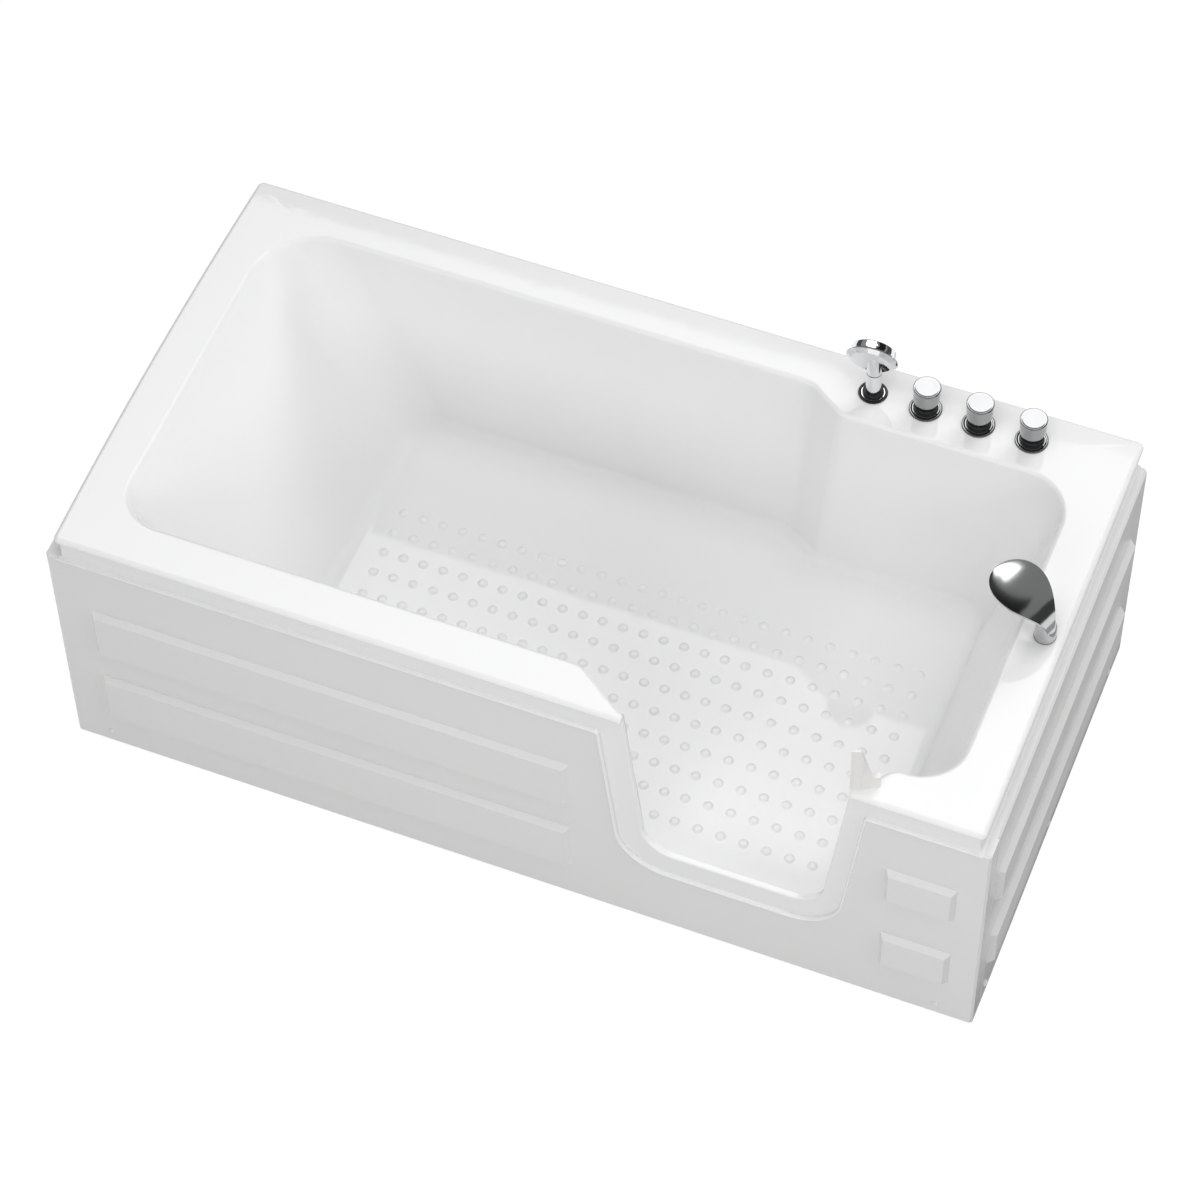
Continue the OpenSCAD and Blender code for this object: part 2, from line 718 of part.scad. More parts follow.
module tap_spindle(x) color(brass) translate([x, tap_y, 0]) {
    low = rim_h - 28;
    high = knob_z + (rim_h + knob_h - knob_z) * 0.7 - seat;
    translate([0, 0, low]) cylinder(r = spindle_r, h = high - low, $fn = round_fn);
}

// A side port at a valve's axis, along X to the left or to the right
module port(side) {
    rotate([0, side * 90, 0]) cylinder(r = port_r, h = port_reach, $fn = round_fn);
}

module port_bore(side) {
    rotate([0, side * 90, 0]) {
        cylinder(r = pipe_in, h = port_reach + 1, $fn = round_fn);
        translate([0, 0, port_reach - socket_d]) cylinder(r = pipe_r + slip, h = socket_d + 1, $fn = round_fn);
    }
}

module tap_valve(x, sides) color(brass) translate([x, tap_y, 0]) {
    shank_top = rim_h + flange_t + collar_t - 1;
    difference() {
        union() {
            translate([0, 0, valve_z]) cylinder(r = valve_r, h = 44, $fn = round_fn);
            translate([0, 0, valve_z]) cylinder(r = shank_r, h = shank_top - valve_z, $fn = round_fn);
            translate([0, 0, valve_z - inlet_len]) cylinder(r = inlet_r, h = inlet_len + 1, $fn = round_fn);
            for (s = sides) translate([0, 0, link_z]) port(s);
        }
        translate([0, 0, valve_z - inlet_len - 1])
            cylinder(r = 7, h = inlet_len + 1 + link_z - valve_z, $fn = round_fn);
        for (s = sides) translate([0, 0, link_z]) port_bore(s);
        translate([0, 0, rim_h - 28 - seat]) cylinder(r = spindle_r + slip, h = 60, $fn = round_fn);
    }
}

module hot_flange() tap_flange(hot_x);

module hot_knob() tap_knob(hot_x);

module hot_spindle() tap_spindle(hot_x);

module hot_valve() tap_valve(hot_x, [1]);

module cold_flange() tap_flange(cold_x);

module cold_knob() tap_knob(cold_x);

module cold_spindle() tap_spindle(cold_x);

module cold_valve() tap_valve(cold_x, [-1, 1]);

module diverter_flange() tap_flange(diverter_x);

module diverter_knob() tap_knob(diverter_x);

module diverter_spindle() tap_spindle(diverter_x);

module diverter_valve() tap_valve(diverter_x, [-1, 1]);

module deck_washers() color(black) translate([0, 0, under_deck - washer_t]) {
    for (x = [hot_x, cold_x, diverter_x]) translate([x, tap_y, 0]) ring(26, shank_r + slip, washer_t);
    translate([shower_x, tap_y, 0]) ring(28, sleeve_r + slip, washer_t);
    translate([spout_x, spout_y, 0]) ring(19, spout_shank_r + slip, washer_t);
}

module deck_nuts() color(brass) translate([0, 0, under_deck - washer_t - nut_t]) {
    for (x = [hot_x, cold_x, diverter_x]) translate([x, tap_y, 0]) hex_nut(46, shank_r + slip, nut_t);
    translate([shower_x, tap_y, 0]) hex_nut(50, sleeve_r + slip, nut_t);
    translate([spout_x, spout_y, 0]) hex_nut(36, spout_shank_r + slip, nut_t);
}

module link_pipe(x0, x1) color(brass) {
    start = x0 + port_reach - socket_d + slip;
    translate([start, tap_y, link_z]) rotate([0, 90, 0])
        ring(pipe_r, pipe_in, x1 - port_reach + socket_d - slip - start);
}

module hot_link_pipe() link_pipe(hot_x, cold_x);

module mixed_link_pipe() link_pipe(cold_x, diverter_x);

// From the last valve along the back, round behind the foot end and up into the spout's stem
module spout_pipe() color(brass) {
    start = diverter_x + port_reach - socket_d + slip;
    translate([start, tap_y, link_z]) rotate([0, 90, 0])
        ring(pipe_r, pipe_in, spout_x - bend_r - start);
    translate([spout_x - bend_r, tap_y - bend_r, link_z]) bend(pipe_r, pipe_in);
    translate([spout_x, tap_y - bend_r, link_z]) rotate([90, 0, 0])
        ring(pipe_r, pipe_in, tap_y - 2 * bend_r - spout_y);
    translate([spout_x, spout_y + bend_r, pipe_bend_top]) rotate([0, 90, 0]) rotate([0, 0, -90])
        bend(pipe_r, pipe_in);
    translate([spout_x, spout_y, pipe_bend_top]) ring(pipe_r, pipe_in, rim_h - 4 - pipe_bend_top);
}

// A nut behind each port, round the pipe that goes into it
module pipe_nuts() color(brass) {
    for (x = [hot_x + port_reach, cold_x - port_reach - 10, cold_x + port_reach,
              diverter_x - port_reach - 10, diverter_x + port_reach])
        translate([x, tap_y, link_z]) rotate([0, 90, 0]) hex_nut(24, pipe_r + slip, 10);
}

module shower_holder() color(chrome) translate([shower_x, tap_y, rim_h]) difference() {
    union() {
        rotate_extrude($fn = round_fn) polygon([
            [0, 0], [26, 0], [26, 1.8], [25, 3.4], [23, flange_t], [19, flange_t],
            [18, 5], [17.6, holder_t - 1.4], [16.4, holder_t], [0, holder_t]
        ]);
        translate([0, 0, -sleeve_len]) cylinder(r = sleeve_r, h = sleeve_len + 1, $fn = round_fn);
    }
    translate([0, 0, -sleeve_len - 1]) cylinder(r = stalk_r + lift_gap, h = sleeve_len + 40, $fn = round_fn);
}

// The middle of the head's rim, with Z going back and up through the head
module at_head() {
    translate([shower_x - head_off, tap_y - 5, rim_h + head_h])
        rotate([-(90 - head_tilt), 0, head_turn]) children();
}

module head_form() {
    rotate_extrude($fn = round_fn) polygon([
        [0, -face_t], [head_r * 0.77, -face_t], [head_r * 0.8, -face_t + 0.6], [head_r - 0.6, -0.6],
        [head_r, 0.6], [head_r - 0.8, 2], [head_r - 4, 3.2], [head_r - back_in + 0.6, head_t - face_t - 2],
        [head_r - back_in, head_t - face_t - 0.8], [head_r - back_in - 1.4, head_t - face_t],
        [0, head_t - face_t]
    ]);
}

// The grip stands in the holder on its shoulder, and its stalk hangs in the sleeve
module shower_handle() color(chrome) difference() {
    grip_h = rim_h + head_h + 16 - shoulder_z;
    translate([shower_x, tap_y, 0]) difference() {
        union() {
            translate([0, 0, shoulder_z]) rotate_extrude($fn = round_fn) polygon([
                [0, 0], [grip_r - 0.8, 0], [grip_r, 0.8], [grip_r, grip_h * 0.46], [grip_r - 0.7, grip_h * 0.47],
                [grip_r - 0.7, grip_h * 0.48], [grip_r, grip_h * 0.49], [grip_r, grip_h - 9],
                [grip_r - 1.8, grip_h - 4], [grip_r - 6, grip_h - 0.8], [0, grip_h]
            ]);
            translate([0, 0, rim_h - 96]) cylinder(r = stalk_r, h = 98 + holder_t, $fn = round_fn);
            translate([0, 0, rim_h - 112]) cylinder(r = inlet_r, h = 20, $fn = round_fn);
        }
        translate([0, 0, rim_h - 113]) cylinder(r = 6, h = 120, $fn = round_fn);
    }
    // the head lies against the grip
    at_head() {
        head_form();
        translate([0, 0, 0.5]) cylinder(r = head_r - 1, h = 40, $fn = round_fn);
    }
}

module shower_head() color(chrome) at_head() difference() {
    head_form();
    translate([0, 0, head_t - face_t - 2]) cylinder(r = head_r - back_in - 4, h = 4, $fn = round_fn);
}

// The soft plate with its rings of nozzles, on the far side of the head
module spray_plate() color(black) at_head() translate([0, 0, head_t - face_t - 2]) {
    cylinder(r = head_r - back_in - 4 - slip, h = 1.6, $fn = round_fn);
    for (k = [0:2]) for (i = [0:6 * (k + 1) - 1])
        rotate([0, 0, i * 60 / (k + 1)]) translate([10 * (k + 1), 0, 1])
            cylinder(r = 1.4, h = 1.8, $fn = 16);
}

// Height and half width of the blade, s of the way from its heel to its round lip
function blade_height(s) = heel_h + (blade_rise - dish - heel_h) * sin(90 * pow(s, 0.5));
function blade_width(s) = s < widest
    ? heel_w + (blade_half - heel_w) * sin(90 * pow(s / widest, 0.9))
    : blade_half * sqrt(max(1 - pow((s - widest) / (1 - widest), 2), 0.0004));

// A row of points across the blade. drop lowers them, for the underside
function blade_row(s, drop, n) = [
    for (i = [0:n])
        let (a = sin(-90 + 180 * i / n), along = blade_len * s, across = blade_width(s) * a)
        [heel[0] - along * cos(blade_turn) + across * sin(blade_turn),
         heel[1] + along * sin(blade_turn) + across * cos(blade_turn),
         rim_h + blade_height(s) + dish * a * a * blade_width(s) / blade_half - drop]
];

module blade_solid(top_drop, low_drop) {
    rows = 20;
    n = 12;
    m = n + 1;
    spots = [for (k = [0:rows]) 0.5 - 0.5 * cos(180 * k / rows)];
    points = concat([for (s = spots) each blade_row(s, low_drop, n)],
                    [for (s = spots) each blade_row(s, top_drop, n)]);
    up = m * (rows + 1);
    skin = [
        for (k = [0:rows - 1]) for (i = [0:n - 1])
            let (a = k * m + i, b = a + m)
            each [[a, a + 1, b], [a + 1, b + 1, b],
                  [up + a, up + b, up + a + 1], [up + a + 1, up + b, up + b + 1]]
    ];
    edge = [
        for (k = [0:rows - 1])
            let (a = k * m, b = a + m, c = a + n, d = c + m)
            each [[a, b, up + a], [b, up + b, up + a], [c, up + c, d], [d, up + c, up + d]]
    ];
    ends = [
        for (i = [0:n - 1])
            let (e = rows * m + i)
            each [[i, up + i, i + 1], [i + 1, up + i, up + i + 1],
                  [e, e + 1, up + e], [e + 1, up + e + 1, up + e]]
    ];
    polyhedron(points, concat(skin, edge, ends));
}

module spout_blade() color(chrome) blade_solid(0, blade_t);

// The stem is cut to the blade's underside
module spout_stem() color(chrome) difference() {
    union() {
        translate([spout_x, spout_y, rim_h]) cylinder(r = stem_r, h = blade_rise, $fn = round_fn);
        translate([spout_x, spout_y, rim_h]) cylinder(r = stem_r + 0.8, h = 2.4, $fn = round_fn);
        translate([spout_x, spout_y, spout_shank_z])
            cylinder(r = spout_shank_r, h = rim_h + 1 - spout_shank_z, $fn = round_fn);
    }
    translate([spout_x, spout_y, spout_shank_z - 1])
        cylinder(r = pipe_r + slip, h = rim_h - 2 - spout_shank_z, $fn = round_fn);
    translate([spout_x, spout_y, rim_h - 10]) cylinder(r = pipe_in, h = 30, $fn = round_fn);
    blade_solid(-200, blade_t);
}

// ---- waste and overflow -------------------------------------------------------------------

module waste_flange() color(chrome) at_drain() difference() {
    union() {
        translate([0, 0, floor_z]) rotate_extrude($fn = round_fn)
            polygon([[0, 0], [drain_r, 0], [drain_r, 1], [drain_r - 3, 2.6], [0, 2.6]]);
        translate([0, 0, board_z - 14]) cylinder(r = throat_r, h = floor_z - board_z + 15, $fn = round_fn);
    }
    difference() {
        translate([0, 0, board_z - 15]) cylinder(r = throat_in, h = 60, $fn = round_fn);
        // the spider that guides the plug
        translate([0, 0, floor_z - 10]) {
            cylinder(r = 7, h = 6, $fn = round_fn);
            for (a = [0, 90]) rotate([0, 0, a]) translate([-throat_in - 1, -1.5, 0])
                cube([2 * throat_in + 2, 3, 5]);
        }
    }
    translate([0, 0, floor_z - 3]) cylinder(r = plug_r + lift_gap, h = 10, $fn = round_fn);
    translate([0, 0, floor_z - 20]) cylinder(r = 4 + slip, h = 30, $fn = round_fn);
}

module drain_plug() color(chrome) at_drain() {
    translate([0, 0, floor_z - 3 + seat]) rotate_extrude($fn = round_fn) polygon([
        [0, 0], [plug_r, 0], [plug_r, 4], [plug_r - 1.5, 6], [plug_r - 8, 7.5], [0, 8.2]
    ]);
    translate([0, 0, floor_z - 44]) cylinder(r = 4, h = 44, $fn = round_fn);
}

// Clamps the waste to the basin, against the underside of the shell
module waste_nut() color(pipe_white) at_drain(floor_z - shell_t - 8) ring(nut_r - 1, throat_r + slip, 8);

module waste_body() color(pipe_white) at_drain() difference() {
    union() {
        translate([0, 0, body_z]) cylinder(r = body_r, h = board_z - body_z - 1, $fn = round_fn);
        translate([0, 0, body_z - 26]) cylinder(r = spigot_r, h = 27, $fn = round_fn);
        translate([0, 0, side_z]) rotate([90, 0, 0])
            cylinder(r = overflow_pipe_r + 3, h = body_r + 22, $fn = round_fn);
    }
    translate([0, 0, board_z - 14]) cylinder(r = throat_r + slip, h = 20, $fn = round_fn);
    translate([0, 0, body_z + 3]) cylinder(r = throat_in, h = 40, $fn = round_fn);
    translate([0, 0, body_z - 27]) cylinder(r = spigot_r - 3, h = 40, $fn = round_fn);
    translate([0, 0, side_z]) rotate([90, 0, 0]) {
        cylinder(r = overflow_pipe_r - 2, h = body_r + 30, $fn = round_fn);
        translate([0, 0, body_r + 6]) cylinder(r = overflow_pipe_r + slip, h = 20, $fn = round_fn);
    }
}

module trap() color(pipe_white) at_drain() difference() {
    union() {
        translate([0, 0, trap_z[0]]) cylinder(r = trap_r, h = trap_z[1] - trap_z[0], $fn = round_fn);
        translate([0, 0, trap_outlet_z]) rotate([-90, 0, 0])
            cylinder(r = outlet_r, h = outlet_reach, $fn = round_fn);
        translate([0, 0, trap_outlet_z]) rotate([-90, 0, 0])
            cylinder(r = outlet_r + 3, h = outlet_reach - outlet_free, $fn = round_fn);
        translate([0, 0, trap_z[1] - 14]) cylinder(r = trap_r + 3, h = 14, $fn = round_fn);
    }
    translate([0, 0, trap_z[0] + 3]) cylinder(r = trap_r - 3, h = trap_z[1] - trap_z[0] - 6, $fn = round_fn);
    translate([0, 0, trap_z[1] - 5]) cylinder(r = spigot_r + slip, h = 10, $fn = round_fn);
    translate([0, 0, trap_outlet_z]) rotate([-90, 0, 0]) translate([0, 0, 10])
        cylinder(r = outlet_r - 3, h = outlet_reach, $fn = round_fn);
}

module overflow_plate() color(chrome) at_overflow() difference() {
    rotate_extrude($fn = round_fn)
        polygon([[0, slip], [overflow_r, slip], [overflow_r, 2], [overflow_r - 3, 4], [0, 4]]);
    translate([0, 0, -1]) cylinder(r = 4 + slip, h = 8, $fn = round_fn);
    for (a = [45:90:315]) rotate([0, 0, a]) translate([11, 0, -1]) cylinder(r = 2.6, h = 8, $fn = round_fn);
}

// Turns to raise the plug. Its pin runs in the plate
module overflow_dial() color(chrome) at_overflow() {
    translate([0, 0, 4 + seat + 4]) rotate_extrude($fn = round_fn) polygon([
        [0, 0], [overflow_r - 7, 0], [overflow_r - 6, 1], [overflow_r - 6.4, 10], [overflow_r - 8, 12],
        [overflow_r - 14, 13], [0, 13.6]
    ]);
    translate([0, 0, -10]) cylinder(r = 4, h = 20, $fn = round_fn);
    translate([0, 0, 4 + seat]) cylinder(r = 7, h = 5, $fn = round_fn);
}

// Behind the front wall: a round body with a spigot that points down
module overflow_elbow() color(pipe_white) difference() {
    union() {
        at_overflow() translate([0, 0, -shell_t - 36]) cylinder(r = 27, h = 36, $fn = round_fn);
        at_overflow() translate([0, 0, -shell_t - 10])
            cylinder(r = overflow_hole_r - fit, h = 10 + shell_t, $fn = round_fn);
        translate([overflow_x, drop_y, overflow_z - 52])
            cylinder(r = overflow_pipe_r + 3, h = 46, $fn = round_fn);
    }
    at_overflow() translate([0, 0, -shell_t - 33]) cylinder(r = 12, h = 50, $fn = round_fn);
    translate([overflow_x, drop_y, overflow_z - 53]) {
        cylinder(r = overflow_pipe_r - 2, h = 50, $fn = round_fn);
        cylinder(r = overflow_pipe_r + slip, h = 15, $fn = round_fn);
    }
}

// Down from the overflow and in to the waste's branch
module overflow_pipe() color(pipe_white) {
    inner = overflow_pipe_r - 2;
    low = side_z + bend_r;
    end = drain_y - body_r - 6 - slip;
    translate([overflow_x, drop_y, low]) ring(overflow_pipe_r, inner, overflow_z - 38 - slip - low);
    translate([overflow_x, drop_y + bend_r, low]) rotate([0, 90, 0]) rotate([0, 0, -90])
        bend(overflow_pipe_r, inner);
    translate([overflow_x, drop_y + bend_r, side_z]) rotate([-90, 0, 0])
        ring(overflow_pipe_r, inner, end - drop_y - bend_r);
}

tub_shell();
front_apron();
left_apron();
right_apron();
door_keeper();
floor_board();
rail_front();
rail_back();
rail_left();
rail_right();
crossbar(bar_x[0]);  // crossbar_head
crossbar(bar_x[1]);  // crossbar_middle
crossbar(bar_x[2]);  // crossbar_foot
post(post_x[0], post_y[0]);  // post_front_head
post(post_x[1], post_y[0]);  // post_front_middle
post(post_x[2], post_y[0]);  // post_front_foot
post(post_x[0], post_y[1]);  // post_back_head
post(post_x[1], post_y[1]);  // post_back_middle
post(post_x[2], post_y[1]);  // post_back_foot
foot_pads();
foot_studs();
lock_nuts();
apron_screws();
screw_caps();
hot_flange();
hot_knob();
hot_spindle();
hot_valve();
cold_flange();
cold_knob();
cold_spindle();
cold_valve();
diverter_flange();
diverter_knob();
diverter_spindle();
diverter_valve();
deck_washers();
deck_nuts();
hot_link_pipe();
mixed_link_pipe();
spout_pipe();
pipe_nuts();
shower_holder();
shower_handle();
shower_head();
spray_plate();
spout_stem();
spout_blade();
waste_flange();
waste_nut();
waste_body();
drain_plug();
trap();
overflow_plate();
overflow_dial();
overflow_elbow();
overflow_pipe();
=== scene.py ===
"""The looks of a walk-in bathtub: a white acrylic shell with an open doorway, pressed apron panels,
a deck tap set in polished chrome, and the frame and pipework that carry them.

The CAD model is the frame. Pieces drawn here stand for CAD nodes whose form asks for more than
flat facets. Lengths in the outlines are millimetres, as on the part's drawing, with the origin at
the floor under the middle of the tub, the head end on the left and the front towards -Y.
"""

from math import atan, cos, pi, radians, sin, sqrt, tan, tau

import bmesh
import bpy
from bpy.props import FloatProperty, FloatVectorProperty, IntProperty, PointerProperty
from mathutils import Matrix, Vector


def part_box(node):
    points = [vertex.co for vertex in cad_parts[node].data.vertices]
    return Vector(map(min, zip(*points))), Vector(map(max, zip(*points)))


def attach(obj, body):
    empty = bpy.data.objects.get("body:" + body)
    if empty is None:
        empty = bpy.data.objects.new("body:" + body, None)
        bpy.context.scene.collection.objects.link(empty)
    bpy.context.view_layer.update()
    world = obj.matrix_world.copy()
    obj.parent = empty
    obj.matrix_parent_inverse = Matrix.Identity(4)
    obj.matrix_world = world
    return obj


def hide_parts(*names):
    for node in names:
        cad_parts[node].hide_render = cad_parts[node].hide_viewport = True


bl_info = {
    "name": "Walk-in Bathtub",
    "version": (1, 0, 0),
    "blender": (4, 5, 0),
    "location": "3D Viewport > Sidebar > Bathtub",
    "description": "Skin, fittings, finishes and studio for the walk-in bathtub",
    "category": "Object",
}

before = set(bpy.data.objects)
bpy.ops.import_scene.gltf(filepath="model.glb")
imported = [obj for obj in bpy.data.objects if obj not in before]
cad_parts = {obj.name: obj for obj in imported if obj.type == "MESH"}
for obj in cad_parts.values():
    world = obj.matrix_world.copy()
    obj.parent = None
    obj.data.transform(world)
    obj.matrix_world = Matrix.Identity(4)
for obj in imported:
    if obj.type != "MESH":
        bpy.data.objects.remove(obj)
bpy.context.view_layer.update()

MM = 0.001

# Deck, as the CAD shell has it; its head end bows out by BOW
SHELL_LOW, SHELL_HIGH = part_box("tub_shell")
BOW = 8.0
DECK_RIGHT = SHELL_HIGH.x / MM
DECK_LEFT = SHELL_LOW.x / MM + BOW
DECK_FRONT = SHELL_LOW.y / MM
DECK_BACK = SHELL_HIGH.y / MM
RIM_Z = SHELL_HIGH.z / MM
DECK_EDGE = 8.0

# The standing floor, the wall thicknesses, and the skirt, which stands in from the deck by LIP
FLOOR_Z = 158.0
COVE = 20.0
SHELL_T = 6.0
DECK_T = 10.0
JAMB_T = 10.0
SKIRT_T = 5.0
SKIRT_LOW = RIM_Z - 76.0
LIP = 8.0

# Doorway, narrower towards its sill
DOOR_RIGHT = DECK_RIGHT - 230.5
DOOR_LEFT = DOOR_RIGHT - 394.0
DOOR_LEAN = tan(radians(6.2))
SILL_Z = 213.0
DOOR_ROUND = 60.0

# The tap set's holes, from the hand shower to the foot end, and the spout
TAP_Y = DECK_BACK - 66.0
TAP_X = [DECK_RIGHT - 181.5 - 95.0 * (3 - i) for i in range(4)]
TAPS = ("hot", "cold", "diverter")
SPOUT = (DECK_RIGHT - 34.5, DECK_FRONT + 410.0)


# ---- properties ----


class BathtubShellSettings(bpy.types.PropertyGroup):
    """Sizes and colours of the moulded shell and its panels"""

    rim_round: FloatProperty(
        name="Rim rounding", default=0.0075, unit="LENGTH",
        description="Radius where the deck rolls over into the basin",
    )
    edge_round: FloatProperty(
        name="Edge rounding", default=0.003, unit="LENGTH",
        description="Radius of the doorway's edges and the skirt's corners",
    )
    grip_radius: FloatProperty(
        name="Grip radius", default=0.0092, unit="LENGTH",
        description="Radius of a grip on the standing surface",
    )
    grip_height: FloatProperty(
        name="Grip height", default=0.0026, unit="LENGTH",
        description="How far a grip stands up",
    )
    acrylic: FloatVectorProperty(
        name="Acrylic", subtype="COLOR", size=3, default=(0.90, 0.90, 0.902),
        description="Colour of the shell",
    )
    panel: FloatVectorProperty(
        name="Panels", subtype="COLOR", size=3, default=(0.81, 0.81, 0.808),
        description="Colour of the apron panels",
    )


class BathtubFittingSettings(bpy.types.PropertyGroup):
    """Sizes and colours of the taps, the hand shower and the spout"""

    chrome: FloatVectorProperty(
        name="Chrome", subtype="COLOR", size=3, default=(0.60, 0.604, 0.612),
        description="Colour of the polished metal",
    )
    gasket: FloatVectorProperty(
        name="Gasket", subtype="COLOR", size=3, default=(0.012, 0.012, 0.013),
        description="Colour of the dark rings under the knobs",
    )
    turns: IntProperty(
        name="Facets", default=96, min=24,
        description="Facets round a turned piece",
    )


class BathtubStageSettings(bpy.types.PropertyGroup):
    """The studio round the tub"""

    lens: FloatProperty(
        name="Lens", default=128.263,
        description="Focal length on a 36 mm sensor",
    )
    sky: FloatProperty(
        name="Sky", default=0.35,
        description="Strength of the light that comes from all round",
    )
    top: FloatProperty(
        name="Top lamp", default=60.0,
        description="Power of the lamp above the tub",
    )
    front: FloatProperty(
        name="Front lamp", default=74.0,
        description="Power of the lamp on the front",
    )
    back: FloatProperty(
        name="Back lamp", default=52.0,
        description="Power of the lamp over the back of the foot end",
    )
    side: FloatProperty(
        name="Side lamp", default=34.0,
        description="Power of the lamp at the foot end",
    )
    floor: FloatVectorProperty(
        name="Floor", subtype="COLOR", size=3, default=(0.52, 0.52, 0.52),
        description="Colour of the studio floor",
    )


# ---- outlines and meshes ----


def rounded(corners, steps):
    """Points along an outline of (x, y, radius) corners, each corner turned into an arc."""
    count = len(corners)
    points = [Vector(c[:2]) for c in corners]
    into = [(points[i] - points[i - 1]).normalized() for i in range(count)]
    turns = [into[i].angle_signed(into[(i + 1) % count]) * -1 for i in range(count)]
    reach = [corners[i][2] * tan(abs(turns[i]) / 2) for i in range(count)]
    share = []
    for i in range(count):
        j = (i + 1) % count
        share.append(min(1, 0.98 * (points[i] - points[j]).length / max(reach[i] + reach[j], 0.01)))
    outline = []
    for i in range(count):
        radius = corners[i][2] * min(share[i], share[i - 1])
        side = 1 if turns[i] > 0 else -1
        ahead = into[i]
        across = Vector((-ahead.y, ahead.x)) * side
        middle = points[i] - ahead * radius * tan(abs(turns[i]) / 2) + across * radius
        for k in range(steps + 1):
            arm = -across * radius
            arm.rotate(Matrix.Rotation(turns[i] * k / steps, 2))
            outline.append(tuple(middle + arm))
    return outline


def inset(corners, by):
    """An outline of corners moved in, or out where by is below 0, its radii changed to suit."""
    count = len(corners)
    points = [Vector(c[:2]) for c in corners]
    moved = []
    for i in range(count):
        a = (points[i] - points[i - 1]).normalized()
        b = (points[(i + 1) % count] - points[i]).normalized()
        na, nb = Vector((-a.y, a.x)), Vector((-b.y, b.x))
        p = points[i] + (na + nb) * by / (1 + na.dot(nb))
        turn = a.x * b.y - a.y * b.x
        moved.append((p.x, p.y, max(corners[i][2] + (-by if turn > 0 else by), 0.5)))
    return moved


def basin_corners(z):
    """The basin's outline at a height, between its floor and its rim."""
    in_l, in_r = DECK_LEFT + 73, DECK_RIGHT - 81
    in_f, in_ff = DECK_FRONT + 84, DECK_FRONT + 75
    in_b, in_tb = DECK_BACK - 82, DECK_BACK - 130
    in_d = DECK_FRONT + LIP + JAMB_T
    fl_l, fl_r = in_l + 255, in_r - 130
    drift = (RIM_Z - FLOOR_Z) * DOOR_LEAN
    step_1 = DECK_RIGHT - 502
    step_0 = step_1 - 69
    rim = [
        (in_l, in_f, 80), (DOOR_LEFT - 100, in_f, 40), (DOOR_LEFT - 6, in_d, 30),
        (DOOR_RIGHT + 6, in_d, 25), (DOOR_RIGHT + 53, in_ff, 30), (in_r, in_ff, 80),
        (in_r, in_tb, 85), (step_1, in_tb, 45), (step_0, in_b, 45), (in_l, in_b, 120),
    ]
    floor = [
        (fl_l, in_f + 8, 60), (DOOR_LEFT - 100 + drift, in_f + 8, 30),
        (DOOR_LEFT - 6 + drift, in_d + 4, 20), (DOOR_RIGHT + 6 - drift, in_d + 4, 20),
        (DOOR_RIGHT + 36 - drift, in_ff + 8, 15), (fl_r, in_ff + 8, 22),
        (fl_r, in_tb - 2, 45), (step_1 - 28, in_tb - 2, 35), (step_0 - 28, in_b - 8, 35),
        (fl_l, in_b - 8, 60),
    ]
    t = (z - FLOOR_Z) / (RIM_Z - FLOOR_Z)
    return [tuple(a + (b - a) * t for a, b in zip(low, high)) for low, high in zip(floor, rim)]


def deck_corners():
    """The deck's outline, with its head end bowed out."""
    half = (DECK_BACK - DECK_FRONT) / 2
    turn = 2 * atan(2 * BOW / half)
    return [
        (DECK_LEFT, DECK_FRONT, 12), (DECK_RIGHT, DECK_FRONT, 12),
        (DECK_RIGHT, DECK_BACK, 12), (DECK_LEFT, DECK_BACK, 12),
        (DECK_LEFT - 2 * BOW, DECK_FRONT + half, half / tan(turn / 2) * 0.96),
    ]


def new_piece(name, verts, faces, materials=(), marks=None):
    """A mesh object from points in millimetres. marks gives a material number to each face."""
    mesh = bpy.data.meshes.new(name)
    mesh.from_pydata([tuple(c * MM for c in v) for v in verts], [], faces)
    for material in materials:
        mesh.materials.append(material)
    if marks:
        mesh.polygons.foreach_set("material_index", marks)
    mesh.update()
    piece = bpy.data.objects.new(name, mesh)
    bpy.context.scene.collection.objects.link(piece)
    return piece


def smooth(piece, angle=35):
    """Smooth shading that keeps edges sharper than an angle, weighted by face size."""
    mesh = piece.data
    mesh.shade_smooth()
    mesh.set_sharp_from_angle(angle=radians(angle))
    weigh = piece.modifiers.new("Face weights", "WEIGHTED_NORMAL")
    weigh.keep_sharp = True
    return piece


def circle(radius, turns, x=0.0, y=0.0, z=0.0):
    """Points of a level circle."""
    arms = [tau * i / turns for i in range(turns)]
    return [(x + radius * cos(a), y + radius * sin(a), z) for a in arms]


def bands(rows, count, start=0):
    """The faces between rows of count points each, every row closed on itself."""
    faces = []
    for a in range(start, start + (rows - 1) * count, count):
        for i in range(count):
            j = (i + 1) % count
            faces.append((a + i, a + j, a + count + j, a + count + i))
    return faces


def face_out(piece, weld=0.0):
    """Turns every face outward, after points closer than weld metres are made one."""
    work = bmesh.new()
    work.from_mesh(piece.data)
    if weld:
        bmesh.ops.remove_doubles(work, verts=work.verts, dist=weld)
    bmesh.ops.recalc_face_normals(work, faces=work.faces)
    work.to_mesh(piece.data)
    work.free()
    return piece


def loft(name, rings, heights):
    """A closed solid through rings of points, with a fan over each end."""
    count = len(rings[0])
    verts = [(x, y, z) for ring, z in zip(rings, heights) for x, y in ring]
    faces = bands(len(rings), count)
    for k, flip in ((0, True), (len(rings) - 1, False)):
        middle = len(verts)
        x, y = (sum(p[c] for p in rings[k]) / count for c in (0, 1))
        verts.append((x, y, heights[k]))
        for i in range(count):
            a, b = k * count + i, k * count + (i + 1) % count
            faces.append((middle, b, a) if flip else (middle, a, b))
    return new_piece(name, verts, faces)


